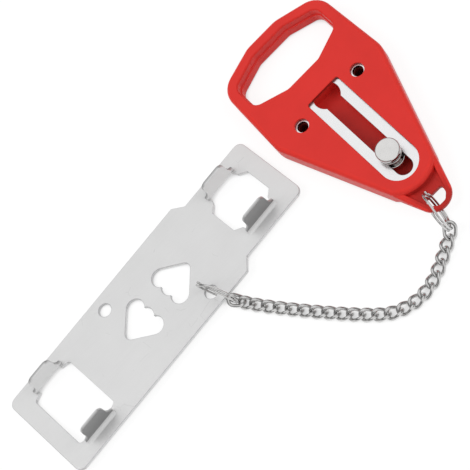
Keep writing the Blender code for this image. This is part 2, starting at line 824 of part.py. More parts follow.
def lobed_outline(side):
    """A cut-out with three round lobes near the middle and a narrow outer end."""
    lobe = Vector((LOBE_X, LOBE_SPACING))
    tip = Vector((LOBE_TIP_X - LOBE_TIP_RADIUS, 0))
    reach = (tip - lobe).length
    lean = math.atan2(tip.y - lobe.y, tip.x - lobe.x)
    normal = lean + math.acos((LOBE_RADIUS - LOBE_TIP_RADIUS) / reach)
    cusp = math.asin(LOBE_SPACING / 2 / LOBE_RADIUS)
    arcs = [
        (tip, LOBE_TIP_RADIUS, -normal, normal),
        (lobe, LOBE_RADIUS, normal, math.pi + cusp),
        (Vector((LOBE_X, 0)), LOBE_RADIUS, math.pi - cusp, math.pi + cusp),
        (Vector((LOBE_X, -LOBE_SPACING)), LOBE_RADIUS, math.pi - cusp, 2 * math.pi - normal),
    ]
    points = []
    for centre, radius, start, end in arcs:
        steps = math.ceil((end - start) / ARC_STEP)
        for k in range(steps + 1):
            turn = start + (end - start) * k / steps
            point = (side * (centre.x + radius * math.cos(turn)), centre.y + radius * math.sin(turn))
            if not points or math.dist(points[-1], point) > REST_GAP:
                points.append(point)
    if signed_area(points) < 0:
        points.reverse()
    return points


def claw_mesh(name, centre_x, width, span, side):
    """A claw bent up from the plate, with its foot inside the plate's metal."""
    top = PLATE_THICKNESS / 2 - CLAW_FOOT_INSET
    bottom = CLAW_FOOT_INSET - PLATE_THICKNESS / 2
    bend_y = span / 2 + CLAW_BEND_RADIUS
    bend_z = PLATE_THICKNESS / 2 + CLAW_BEND_RADIUS
    tip_z = PLATE_THICKNESS / 2 + CLAW_HEIGHT
    outer_radius = CLAW_BEND_RADIUS + CLAW_THICKNESS
    half = width / 2
    stations = [((bend_y + CLAW_FOOT, top), (bend_y + CLAW_FOOT, bottom), half)]
    steps = 5
    for k in range(steps + 1):
        turn = math.pi / 2 * k / steps
        above = (bend_y - CLAW_BEND_RADIUS * math.sin(turn), bend_z - (bend_z - top) * math.cos(turn))
        below = (bend_y - outer_radius * math.sin(turn), bend_z - (bend_z - bottom) * math.cos(turn))
        stations.append((above, below, half))
    for k in range(4):
        turn = math.pi / 2 * k / 3
        z = tip_z - CLAW_TIP_ROUND * (1 - math.sin(turn))
        width_here = half - CLAW_TIP_ROUND * (1 - math.cos(turn))
        stations.append(((span / 2, z), (span / 2 - CLAW_THICKNESS, z), width_here))
    layers = []
    for (above_y, above_z), (below_y, below_z), reach in stations:
        layers.append([
            (centre_x - reach, side * above_y, above_z),
            (centre_x + reach, side * above_y, above_z),
            (centre_x + reach, side * below_y, below_z),
            (centre_x - reach, side * below_y, below_z),
        ])
    return stack(name, layers)


def build_plate(hinge_xy, paint):
    """The stamped strike plate, its origin in the hole that the ring passes."""
    half_thick = PLATE_THICKNESS / 2
    mesh = rounded_slab("strike_plate", plate_outline(), -half_thick, half_thick,
                        PLATE_EDGE_ROUND, PLATE_EDGE_ROUND, 1)
    plate = add_object("strike_plate", mesh, paint)
    helpers = []
    narrow_x = PLATE_LENGTH / 2 - NARROW_WINDOW_INSET
    wide_x = WIDE_WINDOW_INSET - PLATE_LENGTH / 2
    hole_x = PLATE_LENGTH / 2 - PLATE_HOLE_END_INSET
    hole_y = PLATE_WIDTH / 2 - PLATE_HOLE_SIDE_INSET

    narrow_root = NARROW_CLAW_WIDTH / 2 + CLAW_RELIEF
    narrow_bend = NARROW_CLAW_SPAN / 2 + CLAW_BEND_RADIUS
    narrow = [(x + narrow_x, y) for x, y in rounded(window_corners([
        (NARROW_WINDOW_HALF, NARROW_WINDOW_SIDE_Y, 0),
        (NARROW_WINDOW_NECK_X, NARROW_WINDOW_NECK_Y, 0),
        (narrow_root, NARROW_WINDOW_EDGE_Y, 0),
        (narrow_root, narrow_bend, 0),
    ]))]
    wide_root = WIDE_CLAW_WIDTH / 2 + CLAW_RELIEF
    wide_bend = WIDE_CLAW_SPAN / 2 + CLAW_BEND_RADIUS
    wide = [(x + wide_x, y) for x, y in rounded(window_corners([
        (WIDE_WINDOW_HALF, WIDE_WINDOW_EDGE_Y, WIDE_WINDOW_RADIUS),
        (wide_root, WIDE_WINDOW_EDGE_Y, 0),
        (wide_root, wide_bend, 0),
    ]))]
    cuts = [
        ("cut_narrow_window", narrow),
        ("cut_wide_window", wide),
        ("cut_lobes_left", lobed_outline(-1)),
        ("cut_lobes_right", lobed_outline(1)),
        ("cut_ring_hole", circle(hole_x, -hole_y, PLATE_HOLE_RADIUS)),
        ("cut_spare_hole", circle(-hole_x, hole_y, PLATE_HOLE_RADIUS)),
    ]
    for name, points in cuts:
        if signed_area(points) < 0:
            points = points[::-1]
        helpers.append(boolean(plate, name, plain_slab(
            name, points, -PLATE_THICKNESS, PLATE_THICKNESS), "DIFFERENCE"))
    claws = [
        ("join_claw_narrow_near", narrow_x, NARROW_CLAW_WIDTH, NARROW_CLAW_SPAN, -1),
        ("join_claw_narrow_far", narrow_x, NARROW_CLAW_WIDTH, NARROW_CLAW_SPAN, 1),
        ("join_claw_wide_near", wide_x, WIDE_CLAW_WIDTH, WIDE_CLAW_SPAN, -1),
        ("join_claw_wide_far", wide_x, WIDE_CLAW_WIDTH, WIDE_CLAW_SPAN, 1),
    ]
    for name, centre_x, width, span, side in claws:
        mesh = claw_mesh(name, centre_x, width, span, side)
        helpers.append(boolean(plate, name, mesh, "UNION"))

    to_hole = Matrix.Translation((-hole_x, hole_y, 0))
    far_edge = PLATE_WIDTH / 2 + hole_y
    rest = far_edge * math.sin(PLATE_TILT) + half_thick * math.cos(PLATE_TILT) + REST_GAP
    placed = Euler((-PLATE_TILT, 0, PLATE_HEADING)).to_matrix().to_4x4()
    placed.translation = Vector((hinge_xy.x, hinge_xy.y, rest))
    for item in [plate] + helpers:
        item.data.transform(to_hole)
        item.matrix_world = placed
    return plate


def main():
    """Build every piece."""
    clear_scene()
    red = material("red_plastic", (0.75, 0.045, 0.035), 0.35, 0.0)
    bright = material("insert_steel", (0.86, 0.86, 0.87), 0.28, 1.0)
    turned = material("turned_steel", (0.74, 0.73, 0.72), 0.25, 1.0)
    nickel = material("bright_nickel", (0.72, 0.71, 0.70), 0.16, 1.0)
    ring_steel = material("ring_steel", (0.70, 0.70, 0.70), 0.18, 1.0)
    satin = material("satin_plate_steel", (0.66, 0.66, 0.66), 0.38, 1.0)

    build_moulding(red)
    build_insert(bright)
    build_pin(turned)

    first_height = ring_height(HANDLE_RING_LEAN)
    first_centre = Vector((HANDLE_RING_X, from_tip(-HANDLE_RING_PAST_TIP), first_height))
    tab_middle = (TAB_BOTTOM_Z + TAB_TOP_Z) / 2
    back = math.sqrt(RING_RADIUS ** 2 - (first_height - tab_middle) ** 2)
    first_hinge = first_centre - direction(HANDLE_RING_HEADING) * back
    first_hinge.z = tab_middle
    build_ring("handle_split_ring", first_centre, HANDLE_RING_HEADING, HANDLE_RING_LEAN,
               first_hinge, ring_steel)

    near_end, far_end = build_chain(first_centre, nickel)

    centre = near_end + direction(PLATE_RING_TURN) * PLATE_RING_REACH
    centre.z = ring_height(PLATE_RING_LEAN)
    hole = centre - direction(PLATE_RING_HEADING) * PLATE_RING_OFFSET
    build_ring("plate_split_ring", centre, PLATE_RING_HEADING, PLATE_RING_LEAN, far_end, ring_steel)
    build_plate(hole, satin)


main()
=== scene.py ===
"""Portable door lock: a red moulded handle with its steel insert and sliding pin, a chain of
twisted links between two split rings, and a strike plate.

All lengths are in metres, with Z up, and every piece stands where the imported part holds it.
"""
import math

import bmesh
import bpy
from bpy.props import FloatProperty, FloatVectorProperty, IntProperty, PointerProperty
from bpy.types import Operator, Panel, PropertyGroup
from mathutils import Euler, Matrix, Vector


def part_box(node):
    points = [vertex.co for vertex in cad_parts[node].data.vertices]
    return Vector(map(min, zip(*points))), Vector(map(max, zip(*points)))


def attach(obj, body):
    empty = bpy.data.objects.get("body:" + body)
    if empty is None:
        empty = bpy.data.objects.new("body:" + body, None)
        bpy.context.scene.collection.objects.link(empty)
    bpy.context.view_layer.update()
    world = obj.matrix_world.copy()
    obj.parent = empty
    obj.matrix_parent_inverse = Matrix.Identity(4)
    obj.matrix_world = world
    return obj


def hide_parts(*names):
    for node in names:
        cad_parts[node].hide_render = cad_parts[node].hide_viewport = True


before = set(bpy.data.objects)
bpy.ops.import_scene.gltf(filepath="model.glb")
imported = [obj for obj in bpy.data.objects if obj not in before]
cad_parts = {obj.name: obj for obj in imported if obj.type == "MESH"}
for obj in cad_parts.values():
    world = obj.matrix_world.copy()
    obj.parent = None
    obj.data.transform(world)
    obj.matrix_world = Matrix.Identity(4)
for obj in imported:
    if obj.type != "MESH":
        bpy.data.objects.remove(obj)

bl_info = {
    "name": "Portable Door Lock",
    "version": (1, 0, 0),
    "blender": (4, 5, 0),
    "location": "3D View > Sidebar > Door Lock",
    "description": "Builds a portable door lock, piece by piece",
    "category": "Object",
}

# Fineness of round shapes
ARC_STEP = math.radians(6)
WIRE_SIDES = 14
ROUNDING_STEPS = 6
ROUND_SHARE = 0.9999

# Nearness at which points are merged, counted as one height, or cut
MERGE_DISTANCE = 0.000002
SAME_PLACE = 0.000001
CUT_DISTANCE = 0.0000001

# Edges that turn further than this are shaded sharp
SHARP_ANGLE = math.radians(35)
TURNED_SHARP_ANGLE = math.radians(50)

# A bend this strong is marked fully for the edge mask, and faces wider than this are flats, where
# nothing is marked
FULL_MARK_BEND = math.radians(12)
FLAT_WIDTH = 0.0009

# Handle outline, as shares of its half width and half length
TOP_SHARES = (0.27, 1.0)
CROWN_SHARES = (0.94, 0.891)
SHOULDER_SHARES = (1.0, 0.22)
TOP_RADIUS = 0.012
CROWN_RADIUS = 0.010
SHOULDER_RADIUS = 0.013
TIP_RADIUS = 0.00805
BACK_ROUND = 0.0012

# Grip window
WINDOW_NEAR_HALF = 0.009
WINDOW_SIDE_WALL = 0.0068
WINDOW_NEAR_INSET = 0.0290
WINDOW_LOW_INSET = 0.0234
WINDOW_HIGH_INSET = 0.0105
WINDOW_FAR_INSET = 0.00525
WINDOW_CORNER_RADIUS = 0.0045
WINDOW_BEND_RADIUS = 0.005
WINDOW_STEP = 0.0005
WINDOW_STEP_SHARE = 0.52
WINDOW_BORDER = 0.0042
WINDOW_BORDER_DEPTH = 0.0002
WINDOW_BORDER_SLOPE = 0.0004

# Recess, pocket, channel and screw holes
RECESS_HALF_WIDTH = 0.0087
RECESS_TIP_REACH = 0.0182
RECESS_TOP_INSET = 0.04155
RECESS_CORNER_RADIUS = 0.001
RECESS_EDGE_ROUND = 0.0004
POCKET_GAP = 0.0003
BACK_WALL = 0.0020
CHANNEL_HALF_WIDTH = 0.0062
CHANNEL_TIP_REACH = 0.0174
CHANNEL_TOP_INSET = 0.0405
SCREW_SIDE_INSET = 0.0055
SCREW_TOP_INSET = 0.04645
SCREW_RADIUS = 0.0032
SCREW_BORE_RADIUS = 0.0022
SCREW_ROUND = 0.0003

# How dark the painted shade in the hollows is, how far it reaches, and the slack in finding their
# points
SCREW_SHADE = 0.9
SCREW_CONE_SHADE = 0.27
RECESS_SHADE = 0.6
RECESS_SHADE_TIP_REACH = 0.0178
RECESS_SHADE_TOP_INSET = 0.04
CHANNEL_TIP_SHADE = 0.36
CHANNEL_SHADE_REACH = 0.0242
HOLLOW_MARGIN = 1.02
HOLLOW_SKIN = 0.0001

# Thin tab, with every reach from the tip
LEDGE_REACH = 0.01255
LEDGE_RADIUS = 0.016
LEDGE_ROUND = 0.0022
LEDGE_WIDTH_SHARE = 0.978
LEDGE_STEPS = 24
TAB_BOTTOM_Z = 0.0032
TAB_TOP_Z = 0.0058
TAB_ROUND = 0.0008
TAB_INNER_REACH = 0.0151
RIM_WIDTH = 0.0026
RIM_START_DROP = 0.0002
RIM_START_REACH = 0.0215
RIM_END_REACH = 0.0048
RIM_OUTER_ROUND = 0.0018
RIM_INNER_ROUND = 0.0005
RIM_SINK = 0.0010
DHOLE_FLAT_REACH = 0.00785
DHOLE_END_REACH = 0.0020
DHOLE_HALF_WIDTH = 0.0050
DHOLE_CORNER_RADIUS = 0.0012
DHOLE_ARC_SHARES = ((0.82, 0.62, 0.4), (0.36, 1.0, 0.42))
DHOLE_ROUND = 0.0005

# Steel insert
INSERT_WALL = 0.0036
INSERT_TOP_INSET = 0.0345
INSERT_TIP_REACH = 0.0162
INSERT_CORNER_RADIUS = 0.002
INSERT_EDGE_ROUND = 0.00015
SLOT_TIP_REACH = 0.02025
KEYHOLE_RADIUS = 0.0062
KEYHOLE_INSET = 0.04395
INSERT_HOLE_RADIUS = 0.00245
SLOT_END_SHARE = 0.999

# Turned pin
PIN_REACH = 0.03245
FLANGE_RADIUS = 0.0056
FLANGE_THICKNESS = 0.0016
SHANK_RADIUS = 0.0035
COLLAR_RADIUS = 0.0051
COLLAR_TOP_Z = 0.0099
HEAD_BOTTOM_Z = 0.0121
PIN_EDGE_ROUND = 0.0003
PIN_STEPS = 96

# Split rings: the wire, the crank between its two coils, and where each ring stands
RING_COIL_GAP = 0.0004
RING_WIRE_ROUND = 0.00022
RING_END_ROUND = 0.0001
RING_START = math.radians(150)
RING_CRANK_START = math.radians(290)
RING_CRANK_TURN = math.radians(60)
RING_TOTAL_TURN = math.radians(640)
RING_STEPS = 160
HANDLE_RING_X = -0.0044
HANDLE_RING_PAST_TIP = 0.00103
HANDLE_RING_HEADING = math.radians(255.3)
HANDLE_RING_LEAN = math.radians(8.1)
PLATE_RING_HEADING = math.radians(291.7)
PLATE_RING_LEAN = math.radians(4.22)

# Gap left under what stands on the floor
REST_GAP = 0.00002

# Chain: twists and headings in degrees. The headings hold at shares of the chain's length, and
# the end links, which bear on the rings, are placed one by one
LINK_TWISTS = (45, -45)
FIRST_LINK_TWISTS = (-8.4, -36.8)
LAST_LINK_TWISTS = (54.7, -6.8)
LINK_POINTS = 56
LINK_PLAY = 0.0003
LINK_FLOOR_GAP = 0.00005
CHAIN_TURN_SHARES = (0.0, 0.1, 0.16, 0.42, 0.48, 0.62, 0.9, 1.0)
CHAIN_TURNS = (209, 206, 199, 136, 131, 128, 125, 121)
FIRST_LINK_REACH = 0.00619
FIRST_LINK_TURN = math.radians(17.8)
FIRST_LINK_HEADING = math.radians(221.3)
FIRST_LINK_TIP = math.radians(28.7)
FIRST_LINK_SHIFT = (-0.00043, 0.00046, 0.00251)
FIRST_LINK_STEP = 0.00474
FIRST_LINK_STEP_HEADING = math.radians(208.06)
LAST_LINK_SHORT = 0.00095
LAST_BUT_ONE_BACK = 0.00017
LAST_LINK_HEADING = math.radians(130.6)
LAST_LINK_TIP = math.radians(-17.9)
LAST_LINK_ROLL = math.radians(-23.7)
LAST_LINK_SHIFT = (0.00035, 0.00045, -0.00012)
PLATE_RING_REACH = 0.00936
PLATE_RING_TURN = math.radians(118.65)

# Strike plate
PLATE_SHOULDER_INSET = 0.0411
PLATE_CORNER_RADIUS = 0.0035
PLATE_SHOULDER_RADIUS = 0.0012
PLATE_EDGE_ROUND = 0.00025
PLATE_HOLE_END_INSET = 0.0575
PLATE_HOLE_SIDE_INSET = 0.0069
PLATE_HOLE_RADIUS = 0.0030
PLATE_HEADING = math.radians(5.69)
PLATE_TILT = math.radians(3.17)
PLATE_RING_OFFSET = 0.00516

# Claws and the windows that they are bent from, measured from the middle of each window
CLAW_THICKNESS = 0.0015
CLAW_BEND_RADIUS = 0.0018
CLAW_TIP_ROUND = 0.0030
CLAW_FLARE = 0.0021
CLAW_FLARE_HEIGHT = 0.0034
CLAW_FLARE_STEPS = 6
CLAW_EDGE_ROUND = 0.00022
CLAW_SHARP_ANGLE = math.radians(60)
CLAW_ROOT_SHARE = 0.4
CLAW_ROOT_RADIUS = 0.0003
CLAW_MARGIN = 1.05
CLAW_SKIN = 0.0001
CLAW_FOOT = 0.0016
CLAW_FOOT_INSET = 0.00003
CLAW_RELIEF = 0.0005
NARROW_CLAW_WIDTH = 0.0132
NARROW_CLAW_SPAN = 0.0270
NARROW_WINDOW_INSET = 0.0198
NARROW_WINDOW_HALF = 0.0116
NARROW_WINDOW_SIDE_Y = 0.0068
NARROW_WINDOW_NECK_X = 0.0082
NARROW_WINDOW_NECK_Y = 0.0092
NARROW_WINDOW_EDGE_Y = 0.0122
NARROW_WINDOW_RADIUS = 0.0006
NARROW_WINDOW_NECK_RADIUS = 0.0012
WIDE_CLAW_WIDTH = 0.0130
WIDE_CLAW_SPAN = 0.0364
WIDE_WINDOW_INSET = 0.0199
WIDE_WINDOW_HALF = 0.0113
WIDE_WINDOW_EDGE_Y = 0.0160
WIDE_WINDOW_SAG = 0.0009
WIDE_WINDOW_RADIUS = 0.0015

# Lobed cut-outs
LOBE_RADIUS = 0.0042
LOBE_X = 0.0084
LOBE_SPACING = 0.0063
LOBE_TIP_X = 0.02035
LOBE_TIP_RADIUS = 0.0028
LOBE_POINT_GAP = 0.00004

# Camera, as the photograph was taken
CAMERA_PLACE = (-0.05478, -0.37298, 0.71068)
CAMERA_RIGHT = (0.70132, -0.62394, -0.34474)
CAMERA_UP = (0.71263, 0.62569, 0.31730)
CAMERA_LENS = 145.53
CAMERA_SENSOR = 36.0
CAMERA_CLIP = (0.01, 10.0)

# Floor: to the camera and in mirrors it is white where it lies open, and darker in narrow nooks, a
# painted shade that ambient occlusion sets
FLOOR_HALF_SIZE = 4.0
FLOOR_SHADOW_TONE = (0.16, 0.16, 0.16)
FLOOR_NOOK_REACH = 0.0042
FLOOR_NOOK_SAMPLES = 16
FLOOR_NOOK_SHARES = (0.22, 0.58)
FLOOR_GLOWS = (0.5, 0.88)

# World: the ways to the studio's bright screens as the lock sees them, how near to each the world
# brightens, how bright it gets, and the light that falls on surfaces
SCREEN_WAY = (0.0, 0.15, 0.989)
SCREEN_RANGE = (0.45, 0.86)
SCREEN_STRENGTHS = (0.22, 1.0)
SIDE_SCREEN_WAY = (0.0, -0.885, 0.465)
SIDE_SCREEN_RANGE = (0.80, 0.92)
SIDE_SCREEN_STRENGTHS = (0.0, 1.0)
SURFACE_LIGHT = 0.55

# Lamps: name, place and power
LAMPS = (("key_lamp", (-0.9, 0.5, 1.3), 9.0), ("fill_lamp", (0.9, -0.6, 1.1), 5.0))
LAMP_SIZE = 0.9
LAMP_TARGET = (-0.075, 0.0, 0.0)


def length(name, description, default):
    """A length that the sidebar shows in the scene's units."""
    return FloatProperty(name=name, description=description, default=default,
                         min=0.0, subtype="DISTANCE", unit="LENGTH", precision=5)


def colour(name, description, default):
    """A colour that the sidebar shows as a swatch."""
    return FloatVectorProperty(name=name, description=description, default=default,
                               subtype="COLOR", size=3, min=0.0, max=1.0)


def packed_size(name, axis):
    """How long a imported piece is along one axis."""
    low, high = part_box(name)
    return round(high[axis] - low[axis], 5)


class HandleSizes(PropertyGroup):
    """Sizes of the moulded handle and its insert."""
    length: length("Length", "From the grip's end to the tip", packed_size("handle_moulding", 1))
    width: length("Width", "Across the shoulders", packed_size("handle_moulding", 0))
    thickness: length("Thickness", "From the flat back to the face",
                      packed_size("handle_moulding", 2))
    front_round: length("Front rounding", "Radius of the face's outer edge", 0.0022)
    window_round: length("Window rounding", "Radius of the grip window's edges", 0.0013)
    recess_depth: length("Recess depth", "From the face down to the insert", 0.0016)
    insert_thickness: length("Insert thickness", "Thickness of the steel insert", 0.0020)
    insert_half: length("Insert half width", "From the middle to the insert's side", 0.022)
    slot_half: length("Slot half width", "From the middle to the slot's side", 0.0040)


class PinSizes(PropertyGroup):
    """Sizes of the locking pin."""
    head_radius: length("Head radius", "Radius of the pin's head", 0.0054)
    head_top: length("Head height", "From the floor to the head's face", 0.0140)
    head_chamfer: length("Head chamfer", "Bevel round the head's face", 0.0007)


class ChainSizes(PropertyGroup):
    """Sizes of the split rings and the chain."""
    ring_radius: length("Ring radius", "To the middle of the ring's wire", 0.00875)
    ring_wire_width: length("Ring wire width", "Across the ring's flat wire", 0.0015)
    ring_wire_thickness: length("Ring wire thickness", "Through the ring's flat wire", 0.00085)
    pitch: length("Pitch", "From one link to the next", 0.00536)
    wire_radius: length("Wire radius", "Radius of a link's wire", 0.00078)
    half_width: length("Link half width", "From a link's middle to its wire", 0.0023)
    links: IntProperty(name="Links", description="How many links the chain has", default=22, min=3)


class PlateSizes(PropertyGroup):
    """Sizes of the strike plate."""
    length: length("Length", "From end to end", 0.150)
    width: length("Width", "Across the wide end", 0.0488)
    narrow_width: length("Narrow width", "Across the narrow end", 0.0396)
    thickness: length("Thickness", "Thickness of the sheet", 0.0018)
    claw_height: length("Claw height", "From the sheet to a claw's tip", 0.0105)


class Finishes(PropertyGroup):
    """Colours of the piece's finishes."""
    plastic: colour("Plastic", "Moulded handle", (0.74, 0.038, 0.031))
    insert: colour("Insert steel", "Bright steel insert", (0.84, 0.84, 0.85))
    turned: colour("Turned steel", "Locking pin", (0.74, 0.73, 0.72))
    nickel: colour("Nickel", "Chain links", (0.62, 0.615, 0.61))
    ring: colour("Ring steel", "Split rings", (0.62, 0.615, 0.61))
    plate: colour("Plate steel", "Satin strike plate", (0.73, 0.73, 0.73))
    floor: colour("Floor", "Floor under the lock", (0.80, 0.80, 0.80))


class LockSettings(PropertyGroup):
    """Everything that the sidebar offers."""
    handle: PointerProperty(type=HandleSizes)
    pin: PointerProperty(type=PinSizes)
    chain: PointerProperty(type=ChainSizes)
    plate: PointerProperty(type=PlateSizes)
    finishes: PointerProperty(type=Finishes)


def settings():
    """The scene's door lock settings."""
    return bpy.context.scene.door_lock


# Outlines and solids

def everything(shape):
    """All the points, edges and faces of a bmesh."""
    return shape.verts[:] + shape.edges[:] + shape.faces[:]


def only(kind, items):
    """The items of one kind, out of what an operator made."""
    return [item for item in items if isinstance(item, kind)]


def join(shape, geom):
    """Join two points with an edge, or fill an outline with a face."""
    return bmesh.ops.contextual_create(shape, geom=geom)["faces"]


def face_outwards(shape):
    """Turn every face of a closed bmesh outwards."""
    bmesh.ops.recalc_face_normals(shape, faces=shape.faces)


def merge_doubles(shape, distance=MERGE_DISTANCE):
    """Merge the points that lie on each other."""
    bmesh.ops.remove_doubles(shape, verts=shape.verts, dist=distance)


def spin(shape, geom, angle, steps, centre=(0, 0, 0), rise=0, merge=False):
    """Spin points, edges or faces about an upright axis."""
    return bmesh.ops.spin(shape, geom=geom, cent=centre, axis=(0, 0, 1), dvec=(0, 0, rise),
                          angle=angle, steps=steps, use_merge=merge, use_duplicate=False)


def bevel(shape, geom, offset, segments, affect="EDGES", clamp=False):
    """Round edges, or the corners of a wire."""
    bmesh.ops.bevel(shape, geom=geom, offset=offset, offset_type="OFFSET", segments=segments,
                    profile=0.5, affect=affect, material=-1, clamp_overlap=clamp)
def draw_outline(shape, corners, height=0.0):
    """Draw a closed outline of (x, y, radius) corners: a point is spun through each corner's arc.

    Every point keeps the way that it moves when the outline is spread outwards.
    """
    outward = shape.verts.layers.float_vector.get("outward")
    if outward is None:
        outward = shape.verts.layers.float_vector.new("outward")
    count = len(corners)
    spots = [Vector(corner[:2]) for corner in corners]
    area = sum(a.cross(b) for a, b in zip(spots, spots[1:] + spots[:1]))
    way = 1 if area > 0 else -1
    chains = []
    for i in range(count):
        into = (spots[i] - spots[i - 1]).normalized()
        out = (spots[(i + 1) % count] - spots[i]).normalized()
        turn = math.atan2(into.cross(out), into.dot(out))
        side = Vector((into.y, -into.x)) * way
        next_side = Vector((out.y, -out.x)) * way
        radius = corners[i][2]
        start = spots[i] - into * radius * math.tan(abs(turn) / 2)
        first = shape.verts.new((start.x, start.y, height))
        if radius:
            heel = Vector((-into.y, into.x)) * (radius if turn > 0 else -radius)
            centre = start + heel
            before = len(shape.verts)
            spin(shape, [first], turn, max(2, math.ceil(abs(turn) / ARC_STEP)),
                 centre=(centre.x, centre.y, height))
            shape.verts.ensure_lookup_table()
            chain = [first] + shape.verts[before:]
            bend = 1 if turn * way > 0 else -1
            for point in chain:
                spoke = (point.co.xy - centre).normalized() * bend
                point[outward] = (spoke.x, spoke.y, 0)
        else:
            miter = (side + next_side) / (1 + side.dot(next_side))
            first[outward] = (miter.x, miter.y, 0)
            chain = [first]
        chains.append(chain)
    for i, chain in enumerate(chains):
        join(shape, [chain[-1], chains[(i + 1) % count][0]])
    points = {point for chain in chains for point in chain}
    return [edge for edge in shape.edges if edge.verts[0] in points and edge.verts[1] in points]


def build_layers(corners, layers):
    """A closed bmesh through one outline at several (height, spread) layers, lowest first."""
    shape = bmesh.new()
    edges = draw_outline(shape, corners, layers[0][0])
    outward = shape.verts.layers.float_vector.get("outward")
    gone = layers[0][1]
    for point in shape.verts:
        point.co += point[outward] * gone
    join(shape, edges)
    for height, spread in layers[1:]:
        made = bmesh.ops.extrude_edge_only(shape, edges=edges)["geom"]
        points = set(only(bmesh.types.BMVert, made))
        for point in points:
            point.co += point[outward] * (spread - gone)
            point.co.z = height
        edges = [edge for edge in only(bmesh.types.BMEdge, made) if points.issuperset(edge.verts)]
        gone = spread
    join(shape, edges)
    face_outwards(shape)
    return shape


def rounding(height, radius, up, flare):
    """Layers of a quarter round. Up is 1 at the top face, and flare is 1 where a cutter widens."""
    turns = [math.pi / 2 * k / ROUNDING_STEPS for k in range(ROUNDING_STEPS + 1)]
    return [(height - up * radius * (1 - math.sin(turn)), flare * radius * (1 - math.cos(turn)))
            for turn in turns]


def slab(corners, bottom, top, low_round, high_round):
    """A slab with rounded top and bottom edges."""
    low = rounding(bottom, low_round, -1, -1) if low_round else [(bottom, 0)]
    high = rounding(top, high_round, 1, -1) if high_round else [(top, 0)]
    return build_layers(corners, low[::-1] + high)


def cutter(corners, bottom, top, low_round, high_round, past):
    """A cutter that passes both faces, and leaves their edges rounded."""
    low = rounding(bottom, low_round, -1, 1) if low_round else []
    high = rounding(top, high_round, 1, 1) if high_round else []
    return build_layers(corners, [(bottom - past, low_round)] + low[::-1] + high
                        + [(top + past, high_round)])


def round_corners(x, y, radius):
    """A circle, as the four round corners of a square."""
    near = radius * ROUND_SHARE
    return [(x + radius, y - radius, near), (x + radius, y + radius, near),
            (x - radius, y + radius, near), (x - radius, y - radius, near)]


def make_piece(name, shape):
    """Turn a bmesh into an object at the origin."""
    mesh = bpy.data.meshes.new(name)
    shape.to_mesh(mesh)
    shape.free()
    piece = bpy.data.objects.new(name, mesh)
    bpy.context.scene.collection.objects.link(piece)
    return piece


def apply_modifiers(piece):
    """Keep a piece's mesh as its modifiers leave it."""
    graph = bpy.context.evaluated_depsgraph_get()
    done = bpy.data.meshes.new_from_object(piece.evaluated_get(graph), depsgraph=graph)
    piece.modifiers.clear()
    piece.data = done


def combine(piece, tool, operation="DIFFERENCE"):
    """Cut a shape away from a piece, or join it on."""
    helper = make_piece("helper", tool)
    change = piece.modifiers.new("combine", "BOOLEAN")
    change.operation = operation
    change.solver = "EXACT"
    change.object = helper
    apply_modifiers(piece)
    bpy.data.objects.remove(helper, do_unlink=True)


def soften(piece, sharp_angle=SHARP_ANGLE):
    """Smooth the round sides, keep the flat faces flat, and mark the bends for the edge mask."""
    shape = bmesh.new()
    shape.from_mesh(piece.data)
    merge_doubles(shape)
    bmesh.ops.dissolve_degenerate(shape, edges=shape.edges, dist=SAME_PLACE)
    for face in shape.faces:
        face.smooth = True
    for edge in shape.edges:
        edge.smooth = edge.calc_face_angle(math.pi) < sharp_angle
    bend = shape.verts.layers.float.new("bend")
    wide = {face for face in shape.faces
            if face.calc_area() > FLAT_WIDTH * max(edge.calc_length() for edge in face.edges)}
    for point in shape.verts:
        turns = [edge.calc_face_angle(0) for edge in point.link_edges if len(edge.link_faces) == 2]
        if wide.isdisjoint(point.link_faces):
            point[bend] = min(max(turns, default=0) / FULL_MARK_BEND, 1)
    shape.to_mesh(piece.data)
    shape.free()
    even = piece.modifiers.new("even_normals", "WEIGHTED_NORMAL")
    even.keep_sharp = True
    apply_modifiers(piece)


def dress(piece, material, slot, body, *nodes):
    """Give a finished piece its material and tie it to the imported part."""
    piece.data.materials.clear()
    piece.data.materials.append(material)
    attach(piece, body)
    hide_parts(*nodes)
    return piece


# Shader groups and materials

def node(tree, kind, links=None, **values):
    """A node with its settings, and its inputs set or linked by name or number."""
    made = tree.nodes.new(kind)
    for key, value in values.items():
        setattr(made, key, value)
    for key, value in (links or {}).items():
        socket = made.inputs[key]
        if isinstance(value, bpy.types.NodeSocket):
            tree.links.new(value, socket)
        else:
            socket.default_value = (*value, 1.0) if socket.type == "RGBA" else value
    return made


def reckon(tree, operation, first, second, **values):
    """The result of one step of arithmetic."""
    return node(tree, "ShaderNodeMath", {0: first, 1: second}, operation=operation,
                **values).outputs[0]


def reckon_vector(tree, operation, first, second=(0, 0, 0)):
    """The result of one step of arithmetic on vectors."""
    made = node(tree, "ShaderNodeVectorMath", {0: first, 1: second}, operation=operation)
    return made.outputs["Value" if operation in {"LENGTH", "DOT_PRODUCT"} else "Vector"]


def remap(tree, value, before, after, curve="LINEAR"):
    """A value moved from one range to another."""
    return node(tree, "ShaderNodeMapRange", {
        0: value, 1: before[0], 2: before[1], 3: after[0], 4: after[1]},
        interpolation_type=curve).outputs[0]


def noise(tree, place, scale, detail, **values):
    """The value of a noise texture."""
    return node(tree, "ShaderNodeTexNoise", {
        "Vector": place, "Scale": scale, "Detail": detail, **values}).outputs["Fac"]


def new_group(name, output, **inputs):
    """A shader group with named sockets, and its two ends while it is still empty."""
    group = bpy.data.node_groups.get(name)
    if group:
        return group, None, None
    group = bpy.data.node_groups.new(name, "ShaderNodeTree")
    for socket, value in inputs.items():
        kind = "NodeSocketFloat" if isinstance(value, float) else "NodeSocketVector"
        made = group.interface.new_socket(socket, in_out="INPUT", socket_type=kind)
        if value is not None:
            made.default_value = value
    group.interface.new_socket(output, in_out="OUTPUT", socket_type="NodeSocketFloat")
    start = group.nodes.new("NodeGroupInput").outputs
    return group, start, group.nodes.new("NodeGroupOutput").inputs[0]


